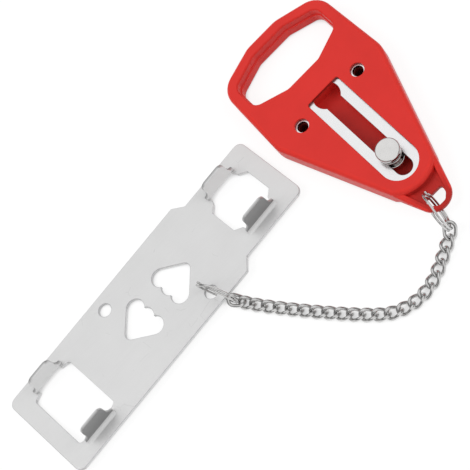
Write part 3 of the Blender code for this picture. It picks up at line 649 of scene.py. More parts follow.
def mottle_group():
    """Soft blotches between two values, such as uneven gloss or tone."""
    group, start, end = new_group("mottle", "Value", Vector=None, Scale=400.0, Detail=3.0,
                                  Low=0.0, High=1.0)
    if start:
        blotches = noise(group, start["Vector"], start["Scale"], start["Detail"], Roughness=0.55)
        spread = remap(group, blotches, (0.3, 0.7), (start["Low"], start["High"]))
        group.links.new(spread, end)
    return group


def brushed_group():
    """Fine lines along one axis, as rolling or brushing leaves on steel."""
    group, start, end = new_group("brushed_grain", "Value", Vector=None,
                                  Stretch=(60.0, 4000.0, 60.0), Low=0.0, High=1.0)
    if start:
        stretched = reckon_vector(group, "MULTIPLY", start["Vector"], start["Stretch"])
        lines = noise(group, stretched, 1.0, 4.0, Roughness=0.6)
        spread = remap(group, lines, (0.25, 0.75), (start["Low"], start["High"]))
        group.links.new(spread, end)
    return group


def scratch_group():
    """Sparse thin scratches that run in changing directions."""
    group, start, end = new_group("fine_scratches", "Mask", Vector=None, Scale=150.0, Width=0.02)
    if start:
        bend = node(group, "ShaderNodeTexNoise", {
            "Vector": start["Vector"], "Scale": 25.0, "Detail": 1.0}).outputs["Color"]
        offset = reckon_vector(group, "MULTIPLY", bend, (0.02, 0.02, 0.02))
        moved = reckon_vector(group, "ADD", start["Vector"], offset)
        cells = node(group, "ShaderNodeTexVoronoi", {
            "Vector": moved, "Scale": start["Scale"], "Randomness": 1.0},
            feature="DISTANCE_TO_EDGE").outputs["Distance"]
        line = reckon(group, "LESS_THAN", cells, start["Width"])
        kept = reckon(group, "GREATER_THAN", noise(group, start["Vector"], 90.0, 2.0), 0.62)
        group.links.new(reckon(group, "MULTIPLY", line, kept), end)
    return group


def edge_mask_group():
    """A broken-up mask on the edges that a piece's bend attribute marks: on the plastic it carries
    a painted highlight, and on the steel it gives darker edges.
    """
    group, start, end = new_group("edge_tone_mask", "Mask", Vector=None, Edge=0.0, Scale=700.0,
                                  Amount=0.5)
    if start:
        patches = noise(group, start["Vector"], start["Scale"], 3.0, Roughness=0.6)
        uneven = remap(group, patches, (0.35, 0.65), (0.4, 1.0))
        part = reckon(group, "MULTIPLY", uneven, start["Edge"])
        mask = reckon(group, "MULTIPLY", part, start["Amount"], use_clamp=True)
        group.links.new(mask, end)
    return group


def use_group(tree, group, **links):
    """What a shader group puts out in a material."""
    return node(tree, "ShaderNodeGroup", links, node_tree=group).outputs[0]


def mottle(tree, place, scale, detail=3.0, low=0.0, high=1.0):
    """Soft blotches placed in a material."""
    return use_group(tree, mottle_group(), Vector=place, Scale=scale, Detail=detail,
                     Low=low, High=high)


def attribute(tree, name):
    """The value that a piece's own attribute holds."""
    return node(tree, "ShaderNodeAttribute", attribute_name=name).outputs["Fac"]


def start_material(name):
    """A new material, with its tree, shader and Object coordinates."""
    material = bpy.data.materials.new(name)
    material.use_nodes = True
    tree = material.node_tree
    shader = tree.nodes["Principled BSDF"]
    place = node(tree, "ShaderNodeTexCoord").outputs["Object"]
    return material, tree, shader, place


def mix_colours(tree, factor, first, second):
    """One colour blended into another by a mask."""
    return node(tree, "ShaderNodeMix", {0: factor, 6: first, 7: second},
                data_type="RGBA").outputs[2]


def shaded(tone, factor):
    """A colour made lighter or darker."""
    return tuple(min(part * factor, 1.0) for part in tone)


def bump(tree, height, strength, distance):
    """A bump from a height value."""
    return node(tree, "ShaderNodeBump", {
        "Height": height, "Strength": strength, "Distance": distance}).outputs["Normal"]


def wire_shader(tree, shader, base, gloss, normal):
    """Link what changes over the surface to a material's shader."""
    for key, value in (("Base Color", base), ("Roughness", gloss), ("Normal", normal)):
        tree.links.new(value, shader.inputs[key])


def plastic_material():
    """Red moulded plastic: finely textured, with a painted highlight in brighter red on the rounded
    edges, broken up in patches, and painted shade in the hollows.
    """
    tone = settings().finishes.plastic[:]
    material, tree, shader, place = start_material("red_moulded_plastic")
    cloud = mottle(tree, place, 60.0)
    base = mix_colours(tree, cloud, shaded(tone, 0.95), shaded(tone, 1.03))
    edge_mask = use_group(tree, edge_mask_group(), Vector=place, Edge=attribute(tree, "bend"),
                     Scale=500.0, Amount=0.5)
    # Painted highlight: the marked rounded edges turn a brighter red
    edge_marked = mix_colours(tree, edge_mask, base, (0.86, 0.036, 0.024))
    # Painted shade: the recess, channel and screw holes darken towards a near-black red
    deep = mix_colours(tree, attribute(tree, "painted_hollow_shade"), edge_marked, shaded(tone, 0.07))
    gloss = mottle(tree, place, 900.0, 4.0, 0.33, 0.45)
    grain = mottle(tree, place, 3200.0, 2.0)
    wire_shader(tree, shader, deep, gloss, bump(tree, grain, 0.25, 0.00004))
    shader.inputs["IOR"].default_value = 1.42
    shader.inputs["Specular IOR Level"].default_value = 0.24
    return material


def steel_material(name, tone, rough, stretch, grain_depth, edge_tone, scratches, metal=1.0):
    """Metal with fine drawn lines, sparse scratches and its own edge tone."""
    material, tree, shader, place = start_material(name)
    cloud = mottle(tree, place, 45.0, 4.0)
    base = mix_colours(tree, cloud, shaded(tone, 0.98), shaded(tone, 1.02))
    lines = use_group(tree, brushed_group(), Vector=place, Stretch=stretch)
    lined = mix_colours(tree, lines, base, shaded(tone, 1.03))
    marks = use_group(tree, scratch_group(), Vector=place, Scale=110.0, Width=0.012)
    part = reckon(tree, "MULTIPLY", marks, scratches)
    marked = mix_colours(tree, part, lined, shaded(tone, 0.8))
    edge_mask = use_group(tree, edge_mask_group(), Vector=place, Edge=attribute(tree, "bend"),
                     Scale=600.0, Amount=0.75)
    edged = mix_colours(tree, edge_mask, marked, edge_tone)
    # Painted dark reflection: the claws' outer faces, which the claw attribute marks, turn dark
    # grey
    claw_reflection_painted = mix_colours(tree, attribute(tree, "claw"), edged, shaded(tone, 0.40))
    smudge = mottle(tree, place, 120.0, 4.0, rough - 0.04, rough + 0.05)
    wire_shader(tree, shader, claw_reflection_painted, smudge, bump(tree, lines, grain_depth, 0.00002))
    shader.inputs["Metallic"].default_value = metal
    return material


def turned_material():
    """Turned steel: fine rings about the pin's own axis."""
    tone = settings().finishes.turned[:]
    material, tree, shader, place = start_material("turned_steel")
    centred = node(tree, "ShaderNodeMapping", {
        "Vector": place, "Location": (0, -from_tip(PIN_REACH), 0)}).outputs[0]
    radius = reckon_vector(tree, "LENGTH", reckon_vector(tree, "MULTIPLY", centred, (1, 1, 0)))
    ring = node(tree, "ShaderNodeTexNoise", {"W": radius, "Scale": 9000.0, "Detail": 3.0},
                noise_dimensions="1D").outputs["Fac"]
    cloud = mottle(tree, place, 300.0)
    base = mix_colours(tree, cloud, shaded(tone, 0.94), shaded(tone, 1.04))
    lined = mix_colours(tree, ring, base, shaded(tone, 0.9))
    gloss = mottle(tree, place, 700.0, low=0.10, high=0.17)
    wire_shader(tree, shader, lined, gloss, bump(tree, ring, 0.2, 0.00002))
    shader.inputs["Metallic"].default_value = 1.0
    return material


def plated_material(name, tone, rough):
    """Bright nickel plate: smudged gloss and faint dimples."""
    material, tree, shader, place = start_material(name)
    cloud = mottle(tree, place, 260.0)
    base = mix_colours(tree, cloud, shaded(tone, 0.9), shaded(tone, 1.06))
    smudge = mottle(tree, place, 420.0, 4.0, rough - 0.03, rough + 0.07)
    dimple = mottle(tree, place, 1500.0, 2.0)
    wire_shader(tree, shader, base, smudge, bump(tree, dimple, 0.12, 0.00003))
    shader.inputs["Metallic"].default_value = 1.0
    return material


# Handle

def handle_length():
    """The handle's whole length."""
    return settings().handle.length


def from_grip(inset):
    """Y of a place this far inside the grip's end."""
    return handle_length() / 2 - inset


def from_tip(reach):
    """Y of a place this far inside the tip's end."""
    return reach - handle_length() / 2


def mirrored(right):
    """Both halves of a symmetric outline, from its right half's corners, top first."""
    left = [(-x, y, radius) for x, y, radius in reversed(right) if x != 0]
    return right + left


def handle_corners():
    """Corners of the handle's right half, and the slant of its sides."""
    sizes = settings().handle
    half_length = sizes.length / 2
    half_width = sizes.width / 2
    shoulder_x = half_width * SHOULDER_SHARES[0]
    shoulder_y = half_length * SHOULDER_SHARES[1]
    tip_centre = TIP_RADIUS - half_length
    reach = math.hypot(shoulder_x, shoulder_y - tip_centre)
    taper = math.atan2(shoulder_x, shoulder_y - tip_centre) - math.asin(TIP_RADIUS / reach)
    corners = [
        (half_width * TOP_SHARES[0], half_length, TOP_RADIUS),
        (half_width * CROWN_SHARES[0], half_length * CROWN_SHARES[1], CROWN_RADIUS),
        (shoulder_x, shoulder_y, SHOULDER_RADIUS),
        (0, shoulder_y - shoulder_x / math.tan(taper), TIP_RADIUS),
    ]
    return corners, taper


def taper_half_width(y):
    """Half the handle's width at a place on its straight sides."""
    corners, taper = handle_corners()
    return corners[2][0] - (corners[2][1] - y) * math.tan(taper)


def slot_corners(half_width, tip_y, top_y, corner_radius):
    """A slot with a round end towards the tip."""
    return mirrored([(half_width, top_y, corner_radius),
                     (half_width, tip_y, half_width * SLOT_END_SHARE)])


def insert_corners():
    """Corners of the steel insert, which follows the handle's sides."""
    half = settings().handle.insert_half
    taper = handle_corners()[1]
    tip_y = from_tip(INSERT_TIP_REACH)
    tip_x = taper_half_width(tip_y) - INSERT_WALL / math.cos(taper)
    side_y = tip_y + (half - tip_x) / math.tan(taper)
    return mirrored([
        (half, from_grip(INSERT_TOP_INSET), INSERT_CORNER_RADIUS),
        (half, side_y, INSERT_CORNER_RADIUS),
        (tip_x, tip_y, INSERT_CORNER_RADIUS),
    ])


def insert_levels():
    """Heights of the insert's bottom and top."""
    sizes = settings().handle
    top = sizes.thickness - sizes.recess_depth
    return top - sizes.insert_thickness, top


def dhole_corners():
    """The D-shaped hole in the tab: a flat side and one deep arc."""
    flat_y = from_tip(DHOLE_FLAT_REACH)
    depth = DHOLE_FLAT_REACH - DHOLE_END_REACH
    half = DHOLE_HALF_WIDTH
    return mirrored([(half, flat_y, DHOLE_CORNER_RADIUS)] + [
        (half * across, flat_y - depth * down, half * radius)
        for across, down, radius in DHOLE_ARC_SHARES])


def ledge_corners():
    """Everything in front of the curved ledge that ends the thick body."""
    sweep = math.asin(LEDGE_WIDTH_SHARE)
    across = LEDGE_RADIUS * LEDGE_WIDTH_SHARE
    arc = []
    for k in range(LEDGE_STEPS + 1):
        turn = sweep * (1 - 2 * k / LEDGE_STEPS)
        arc.append((LEDGE_RADIUS * math.sin(turn),
                    from_tip(LEDGE_REACH) + LEDGE_RADIUS * (1 - math.cos(turn)), 0))
    return arc + [(-across, -handle_length(), 0), (across, -handle_length(), 0)]


def rim_shape(side):
    """A raised rim that runs down one side of the tab from the body."""
    drop = settings().handle.thickness - RIM_START_DROP - TAB_TOP_Z
    start_y = from_tip(RIM_START_REACH)
    end_y = from_tip(RIM_END_REACH)
    shape = bmesh.new()
    ends = []
    for y in (start_y, end_y):
        outer = taper_half_width(y) - REST_GAP
        ends.append([shape.verts.new((side * (outer - inset), y, TAB_BOTTOM_Z + RIM_SINK))
                     for inset in (0, RIM_WIDTH)])
    made = bmesh.ops.extrude_face_region(shape, geom=join(shape, ends[0] + ends[1][::-1]))
    tops = only(bmesh.types.BMVert, made["geom"])
    for point in tops:
        share = (point.co.y - end_y) / (start_y - end_y)
        point.co.z = TAB_TOP_Z + drop * share
    edges = [edge for edge in shape.edges
             if all(point in tops for point in edge.verts)
             and abs(edge.verts[0].co.y - edge.verts[1].co.y) > RIM_WIDTH]
    edges.sort(key=lambda edge: abs(edge.verts[0].co.x + edge.verts[1].co.x))
    for edge, radius in zip(edges, (RIM_INNER_ROUND, RIM_OUTER_ROUND)):
        bevel(shape, [edge], radius, 6, clamp=True)
    face_outwards(shape)
    return shape


def tab_shape():
    """The tip's thin tab, cut from the handle's own outline."""
    right, _ = handle_corners()
    shape = slab(mirrored(right), TAB_BOTTOM_Z, TAB_TOP_Z, TAB_ROUND, TAB_ROUND)
    cut = bmesh.ops.bisect_plane(
        shape, geom=everything(shape), dist=CUT_DISTANCE,
        plane_co=(0, from_tip(TAB_INNER_REACH), 0), plane_no=(0, 1, 0), clear_outer=True)
    join(shape, only(bmesh.types.BMEdge, cut["geom_cut"]))
    face_outwards(shape)
    return shape


def cut_window(body):
    """Cut the grip window, with a parting step inside and a shallow border round it."""
    sizes = settings().handle
    thick = sizes.thickness
    side_x = sizes.width / 2 - WINDOW_SIDE_WALL
    window = mirrored([
        (WINDOW_NEAR_HALF, from_grip(WINDOW_FAR_INSET), WINDOW_BEND_RADIUS),
        (side_x, from_grip(WINDOW_HIGH_INSET), WINDOW_CORNER_RADIUS),
        (side_x, from_grip(WINDOW_LOW_INSET), WINDOW_CORNER_RADIUS),
        (WINDOW_NEAR_HALF, from_grip(WINDOW_NEAR_INSET), WINDOW_BEND_RADIUS),
    ])
    low = [(height, spread - WINDOW_STEP)
           for height, spread in rounding(0, sizes.window_round, -1, 1)]
    high = rounding(thick, sizes.window_round, 1, 1)
    step_z = thick * WINDOW_STEP_SHARE
    step = [(step_z, -WINDOW_STEP), (step_z + WINDOW_STEP / 2, 0)]
    combine(body, build_layers(window, [(-thick, low[-1][1])] + low[::-1] + step + high
                               + [(thick * 2, high[-1][1])]))
    border = WINDOW_BORDER + WINDOW_BORDER_SLOPE
    combine(body, build_layers(window, [
        (thick - WINDOW_BORDER_DEPTH, WINDOW_BORDER), (thick, border), (thick * 2, border)]))


def cut_recess(body):
    """Cut the recess, the insert's pocket, the channel behind it and the screw holes."""
    sizes = settings().handle
    thick = sizes.thickness
    steel_bottom, steel_top = insert_levels()
    recess = slot_corners(RECESS_HALF_WIDTH, from_tip(RECESS_TIP_REACH),
                          from_grip(RECESS_TOP_INSET), RECESS_CORNER_RADIUS)
    combine(body, build_layers(recess, [(steel_top, 0)] + rounding(thick, RECESS_EDGE_ROUND, 1, 1)
                               + [(thick * 2, RECESS_EDGE_ROUND)]))
    combine(body, build_layers(insert_corners(), [
        (steel_bottom - POCKET_GAP, POCKET_GAP), (steel_top + POCKET_GAP, POCKET_GAP)]))
    channel = slot_corners(CHANNEL_HALF_WIDTH, from_tip(CHANNEL_TIP_REACH),
                           from_grip(CHANNEL_TOP_INSET), RECESS_CORNER_RADIUS)
    combine(body, build_layers(channel, [(BACK_WALL, 0), (steel_bottom, 0)]))
    widening = SCREW_RADIUS - SCREW_BORE_RADIUS
    rim = [(height, spread + widening) for height, spread in rounding(thick, SCREW_ROUND, 1, 1)]
    for side in (-1, 1):
        x = side * (sizes.insert_half - SCREW_SIDE_INSET)
        combine(body, build_layers(
            round_corners(x, from_grip(SCREW_TOP_INSET), SCREW_BORE_RADIUS),
            [(BACK_WALL, 0), (steel_bottom, 0), (steel_top, widening)] + rim
            + [(thick * 2, widening + SCREW_ROUND)]))


def build_moulding():
    """The red moulded handle."""
    sizes = settings().handle
    thick = sizes.thickness
    right, _ = handle_corners()
    body = make_piece("handle_body", slab(mirrored(right), 0, thick, BACK_ROUND, sizes.front_round))
    cut_window(body)
    cut_recess(body)
    combine(body, cutter(ledge_corners(), 0, thick, LEDGE_ROUND, LEDGE_ROUND, thick))
    combine(body, tab_shape(), "UNION")
    for side in (-1, 1):
        combine(body, rim_shape(side), "UNION")
    combine(body, cutter(dhole_corners(), TAB_BOTTOM_Z, TAB_TOP_Z, DHOLE_ROUND, DHOLE_ROUND, thick))
    soften(body)
    paint_hollow_shade(body)
    return dress(body, plastic_material(), "red_plastic", "handle", "handle_moulding")


def paint_hollow_shade(body):
    """Mark the points in the recess, channel and screw holes with the strength of their painted
    shade.
    """
    sizes = settings().handle
    floor_z = insert_levels()[1]
    screw_x = sizes.insert_half - SCREW_SIDE_INSET
    recess_x = RECESS_HALF_WIDTH * HOLLOW_MARGIN
    recess_end, recess_top = from_tip(RECESS_SHADE_TIP_REACH), from_grip(RECESS_SHADE_TOP_INSET)
    marks = body.data.attributes.new("painted_hollow_shade", "FLOAT", "POINT").data
    for mark, point in zip(marks, body.data.vertices):
        x, y, z = abs(point.co.x), point.co.y, point.co.z
        if z > sizes.thickness - RECESS_EDGE_ROUND or z < BACK_WALL / 2:
            continue
        below = z < floor_z - HOLLOW_SKIN
        if math.hypot(x - screw_x, y - from_grip(SCREW_TOP_INSET)) < SCREW_RADIUS + SCREW_ROUND:
            mark.value = SCREW_SHADE if z < floor_z else SCREW_CONE_SHADE
        elif x < recess_x and recess_end < y < recess_top and not below:
            mark.value = RECESS_SHADE
        if x < CHANNEL_HALF_WIDTH * HOLLOW_MARGIN and y < from_tip(CHANNEL_SHADE_REACH) and below:
            mark.value = CHANNEL_TIP_SHADE


def build_insert():
    """The steel insert with its keyhole slot."""
    bottom, top = insert_levels()
    sizes = settings().handle
    plate = make_piece("insert_plate", slab(insert_corners(), bottom, top, 0, INSERT_EDGE_ROUND))
    keyhole_y = from_grip(KEYHOLE_INSET)
    screw_x, screw_y = sizes.insert_half - SCREW_SIDE_INSET, from_grip(SCREW_TOP_INSET)
    for corners in (slot_corners(sizes.slot_half, from_tip(SLOT_TIP_REACH), keyhole_y, 0),
                    round_corners(0, keyhole_y, KEYHOLE_RADIUS),
                    round_corners(-screw_x, screw_y, INSERT_HOLE_RADIUS),
                    round_corners(screw_x, screw_y, INSERT_HOLE_RADIUS)):
        combine(plate, cutter(corners, bottom, top, 0, INSERT_EDGE_ROUND, sizes.insert_thickness))
    soften(plate)
    steel = steel_material("bright_insert_steel", settings().finishes.insert[:], rough=0.26,
                           stretch=(3000.0, 90.0, 90.0), grain_depth=0.04,
                           edge_tone=(0.70, 0.70, 0.72), scratches=0.1)
    return dress(plate, steel, "insert_steel", "handle", "steel_insert")


# Locking pin

def build_pin():
    """The locking pin: one profile spun about its upright axis."""
    sizes = settings().pin
    steel_bottom, steel_top = insert_levels()
    flange_top = steel_bottom - POCKET_GAP
    flange_bottom = flange_top - FLANGE_THICKNESS
    collar_bottom = steel_top + POCKET_GAP
    soft = PIN_EDGE_ROUND
    profile = [
        (0, flange_bottom, 0), (FLANGE_RADIUS, flange_bottom, soft),
        (FLANGE_RADIUS, flange_top, soft), (SHANK_RADIUS, flange_top, 0),
        (SHANK_RADIUS, collar_bottom, 0), (COLLAR_RADIUS, collar_bottom, soft),
        (COLLAR_RADIUS, COLLAR_TOP_Z, soft), (SHANK_RADIUS, COLLAR_TOP_Z, soft),
        (SHANK_RADIUS, HEAD_BOTTOM_Z, soft), (sizes.head_radius, HEAD_BOTTOM_Z, soft),
        (sizes.head_radius, sizes.head_top, sizes.head_chamfer), (0, sizes.head_top, 0),
    ]
    shape = bmesh.new()
    points = [shape.verts.new((radius, 0, z)) for radius, z, _ in profile]
    for low, high in zip(points, points[1:]):
        join(shape, [low, high])
    for point, (_, _, cut) in zip(points, profile):
        if cut:
            bevel(shape, [point], cut, 6, "VERTICES")
    spin(shape, everything(shape), 2 * math.pi, PIN_STEPS, merge=True)
    merge_doubles(shape)
    face_outwards(shape)
    bmesh.ops.translate(shape, verts=shape.verts, vec=(0, from_tip(PIN_REACH), 0))
    pin = make_piece("turned_pin", shape)
    soften(pin, TURNED_SHARP_ANGLE)
    return dress(pin, turned_material(), "turned_steel", "pin", "locking_pin")


# Rings and chain

def direction(heading):
    """A level unit vector."""
    return Vector((math.cos(heading), math.sin(heading), 0))


def ring_shape():
    """A split ring about its own Z axis: one flat wire spun almost twice round, with a crank."""
    sizes = settings().chain
    half_width = sizes.ring_wire_width / 2
    half_thick = sizes.ring_wire_thickness / 2
    climb = sizes.ring_wire_thickness + RING_COIL_GAP
    shape = bmesh.new()
    join(shape, draw_outline(shape, [
        (half_width, -half_thick, RING_WIRE_ROUND), (half_width, half_thick, RING_WIRE_ROUND),
        (-half_width, half_thick, RING_WIRE_ROUND), (-half_width, -half_thick, RING_WIRE_ROUND)]))
    start = (Matrix.Rotation(RING_START, 4, "Z")
             @ Matrix.Translation((sizes.ring_radius, 0, -climb / 2))
             @ Matrix.Rotation(math.pi / 2, 4, "X"))
    bmesh.ops.transform(shape, matrix=start, verts=shape.verts)
    front = everything(shape)
    step = RING_TOTAL_TURN / RING_STEPS
    risen = 0
    for k in range(1, RING_STEPS + 1):
        share = min(max((k * step - RING_CRANK_START) / RING_CRANK_TURN, 0), 1)
        height = climb * share * share * (3 - 2 * share)
        front = spin(shape, front, step, 1, rise=height - risen)["geom_last"]
        risen = height
    face_outwards(shape)
    ends = [face for face in shape.faces if len(face.verts) > 4]
    bevel(shape, [edge for face in ends for edge in face.edges], RING_END_ROUND, 2)
    return shape


def ring_matrix(centre, heading, lean):
    """Where a standing ring goes: its X axis level along the heading, its Y axis up."""
    along = direction(heading)
    right = Vector((along.y, -along.x, 0))
    up = Vector((0, 0, 1)) * math.cos(lean) + right * math.sin(lean)
    placed = Matrix((along, up, along.cross(up))).transposed().to_4x4()
    placed.translation = centre
    return placed


def ring_height(lean):
    """Height of a ring's centre above the floor when it stands leaning."""
    sizes = settings().chain
    half_thick = sizes.ring_wire_thickness + RING_COIL_GAP / 2
    reach = sizes.ring_radius + sizes.ring_wire_width / 2
    return REST_GAP + reach * math.cos(lean) + half_thick * math.sin(lean)


def first_ring_centre():
    """Centre of the handle's ring."""
    return Vector((HANDLE_RING_X, from_tip(-HANDLE_RING_PAST_TIP), ring_height(HANDLE_RING_LEAN)))


def chain_heading(share):
    """Heading of the chain at a share of its length."""
    for k in range(1, len(CHAIN_TURN_SHARES)):
        if share <= CHAIN_TURN_SHARES[k]:
            break
    low, high = CHAIN_TURN_SHARES[k - 1], CHAIN_TURN_SHARES[k]
    part = (share - low) / (high - low)
    return math.radians(CHAIN_TURNS[k - 1] + (CHAIN_TURNS[k] - CHAIN_TURNS[k - 1]) * part)


def link_half_length():
    """From a link's middle to the middle of its wire at either end."""
    sizes = settings().chain
    return (sizes.pitch + 2 * sizes.wire_radius + LINK_PLAY) / 2


def link_path(twists=LINK_TWISTS):
    """Points round a link's oblong, twisted between its ends, from where the link before bears."""
    sizes = settings().chain
    near, far = (math.radians(twist) for twist in twists)
    half = sizes.half_width
    straight = 2 * (link_half_length() - half)
    bow = math.pi * half
    points = []
    for k in range(LINK_POINTS):
        gone = 2 * (straight + bow) * (k + 0.5) / LINK_POINTS
        side = 1
        if gone > straight + bow:
            gone -= straight + bow
            side = -1
        if gone < straight:
            x, y = gone - straight / 2, -half
        else:
            turn = (gone - straight) / half - math.pi / 2
            x, y = straight / 2 + half * math.cos(turn), half * math.sin(turn)
        part = math.sin(math.pi / 2 * side * x / link_half_length())
        twist = (near + far + (far - near) * part) / 2
        points.append(Vector((side * x + sizes.pitch / 2, side * y * math.cos(twist),
                              side * y * math.sin(twist))))
    return points


def link_places():
    """Where every link goes, laid on the floor one after the other from the handle's ring."""
    sizes = settings().chain
    last = sizes.links - 1
    highest = max(abs(point.z) for point in link_path())
    rise = Vector((0, 0, highest + sizes.wire_radius + LINK_FLOOR_GAP))
    way = direction(HANDLE_RING_HEADING + FIRST_LINK_TURN)
    place = first_ring_centre() + way * FIRST_LINK_REACH
    place.z = 0
    places = []
    for k in range(sizes.links):
        heading = chain_heading(min(max((k - 1) / (last - 2), 0), 1))
        way = direction(heading)
        turned = Euler((0, 0, heading))
        spot = place + rise
        step = way * sizes.pitch
        if k == 0:
            turned = Euler((0, FIRST_LINK_TIP, FIRST_LINK_HEADING))
            spot += Vector(FIRST_LINK_SHIFT)
            step = direction(FIRST_LINK_STEP_HEADING) * FIRST_LINK_STEP
        elif k == last - 1:
            spot -= way * LAST_BUT_ONE_BACK
            step = way * (sizes.pitch - LAST_LINK_SHORT)
        elif k == last:
            turned = Euler((LAST_LINK_ROLL, LAST_LINK_TIP, LAST_LINK_HEADING))
            spot += Vector(LAST_LINK_SHIFT)
        place = place + step
        matrix = turned.to_matrix().to_4x4()
        matrix.translation = spot
        places.append(matrix)
    return places


def link_piece(name, points, matrix):
    """One link: a closed curve with a round section, turned into a mesh in its place."""
    curve = bpy.data.curves.new(name, "CURVE")
    curve.dimensions = "3D"
    curve.bevel_depth = settings().chain.wire_radius
    curve.bevel_resolution = (WIRE_SIDES - 4) // 2
    curve.twist_mode = "MINIMUM"
    spline = curve.splines.new("POLY")
    spline.points.add(len(points) - 1)
    spline.use_cyclic_u = True
    for spot, point in zip(spline.points, points):
        spot.co = (*point, 1.0)
    drawn = bpy.data.objects.new(name, curve)
    bpy.context.scene.collection.objects.link(drawn)
    graph = bpy.context.evaluated_depsgraph_get()
    mesh = bpy.data.meshes.new_from_object(drawn.evaluated_get(graph), depsgraph=graph)
    bpy.data.objects.remove(drawn, do_unlink=True)
    shape = bmesh.new()
    shape.from_mesh(mesh)
    merge_doubles(shape, SAME_PLACE)
    bmesh.ops.transform(shape, matrix=matrix, verts=shape.verts)
    face_outwards(shape)
    for face in shape.faces:
        face.smooth = True
    return make_piece(name, shape)


def plate_ring_centre():
    """Centre of the plate's ring, reached from the last link."""
    last = link_places()[-1].translation - Vector(LAST_LINK_SHIFT)
    centre = last + direction(PLATE_RING_TURN) * PLATE_RING_REACH
    centre.z = ring_height(PLATE_RING_LEAN)
    return centre


def build_rings():
    """Both split rings."""
    finish = plated_material("ring_steel", settings().finishes.ring[:], 0.16)
    for name, body, packed, centre, heading, lean in (
            ("tip_ring", "handle_ring", "handle_split_ring", first_ring_centre(),
             HANDLE_RING_HEADING, HANDLE_RING_LEAN),
            ("strike_ring", "plate_ring", "plate_split_ring", plate_ring_centre(),
             PLATE_RING_HEADING, PLATE_RING_LEAN)):
        shape = ring_shape()
        bmesh.ops.transform(shape, matrix=ring_matrix(centre, heading, lean), verts=shape.verts)
        ring = make_piece(name, shape)
        soften(ring, TURNED_SHARP_ANGLE)
        dress(ring, finish, "ring_steel", body, packed)


def build_chain():
    """Every link of the chain."""
    finish = plated_material("bright_nickel", settings().finishes.nickel[:], 0.15)
    places = link_places()
    twists = {1: FIRST_LINK_TWISTS, len(places): LAST_LINK_TWISTS}
    for k, matrix in enumerate(places, start=1):
        link = link_piece(f"curb_link_{k:02d}", link_path(twists.get(k, LINK_TWISTS)), matrix)
        dress(link, finish, "bright_nickel", f"link_{k:02d}", f"chain_link_{k:02d}")


# Strike plate

def plate_hole():
    """How far the round holes lie from the plate's middle, along it and across."""
    sizes = settings().plate
    return sizes.length / 2 - PLATE_HOLE_END_INSET, sizes.width / 2 - PLATE_HOLE_SIDE_INSET


def plate_matrix():
    """Where the strike plate goes, with its own middle at the origin."""
    sizes = settings().plate
    hole_x, hole_y = plate_hole()
    hole = plate_ring_centre() - direction(PLATE_RING_HEADING) * PLATE_RING_OFFSET
    far_edge = sizes.width / 2 + hole_y
    rest = far_edge * math.sin(PLATE_TILT) + sizes.thickness / 2 * math.cos(PLATE_TILT) + REST_GAP
    placed = Euler((-PLATE_TILT, 0, PLATE_HEADING)).to_matrix().to_4x4()
    placed.translation = Vector((hole.x, hole.y, rest))
    return placed @ Matrix.Translation((-hole_x, hole_y, 0))


def plate_corners():
    """Corners of the plate, wide at -X and narrow at +X."""
    sizes = settings().plate
    half, wide, narrow = sizes.length / 2, sizes.width / 2, sizes.narrow_width / 2
    shoulder = half - PLATE_SHOULDER_INSET
    upper = [
        (-half, wide, PLATE_CORNER_RADIUS), (shoulder, wide, PLATE_SHOULDER_RADIUS),
        (shoulder + wide - narrow, narrow, PLATE_SHOULDER_RADIUS),
        (half, narrow, PLATE_CORNER_RADIUS),
    ]
    return upper + [(x, -y, radius) for x, y, radius in reversed(upper)]


def window_corners(right, middle):
    """A window's corners from its right half's upper ones."""
    upper = mirrored(right)
    lower = [(-x, -y, radius) for x, y, radius in upper]
    return [(x + middle, y, radius) for x, y, radius in upper + lower]


def lobed_corners(side):
    """A cut-out with three round lobes near the middle and a narrow outer end."""
    lobe = Vector((LOBE_X, LOBE_SPACING))
    tip = Vector((LOBE_TIP_X - LOBE_TIP_RADIUS, 0))
    reach = (tip - lobe).length
    lean = math.atan2(tip.y - lobe.y, tip.x - lobe.x)
    normal = lean + math.acos((LOBE_RADIUS - LOBE_TIP_RADIUS) / reach)
    cusp = math.asin(LOBE_SPACING / 2 / LOBE_RADIUS)
    arcs = [
        (tip, LOBE_TIP_RADIUS, -normal, normal),
        (lobe, LOBE_RADIUS, normal, math.pi + cusp),
        (Vector((LOBE_X, 0)), LOBE_RADIUS, math.pi - cusp, math.pi + cusp),
        (Vector((LOBE_X, -LOBE_SPACING)), LOBE_RADIUS, math.pi - cusp, 2 * math.pi - normal),
    ]
    points = []
    for centre, radius, start, end in arcs:
        steps = math.ceil((end - start) / ARC_STEP)
        for k in range(steps + 1):
            point = centre + direction(start + (end - start) * k / steps).xy * radius
            point.x *= side
            if not points or (point - points[-1]).length > LOBE_POINT_GAP:
                points.append(point)
    return [(point.x, point.y, 0) for point in points]


def claw_pairs():
    """Middle, width and span of the claws at the narrow and at the wide end."""
    half = settings().plate.length / 2
    return ((half - NARROW_WINDOW_INSET, NARROW_CLAW_WIDTH, NARROW_CLAW_SPAN),
            (WIDE_WINDOW_INSET - half, WIDE_CLAW_WIDTH, WIDE_CLAW_SPAN))


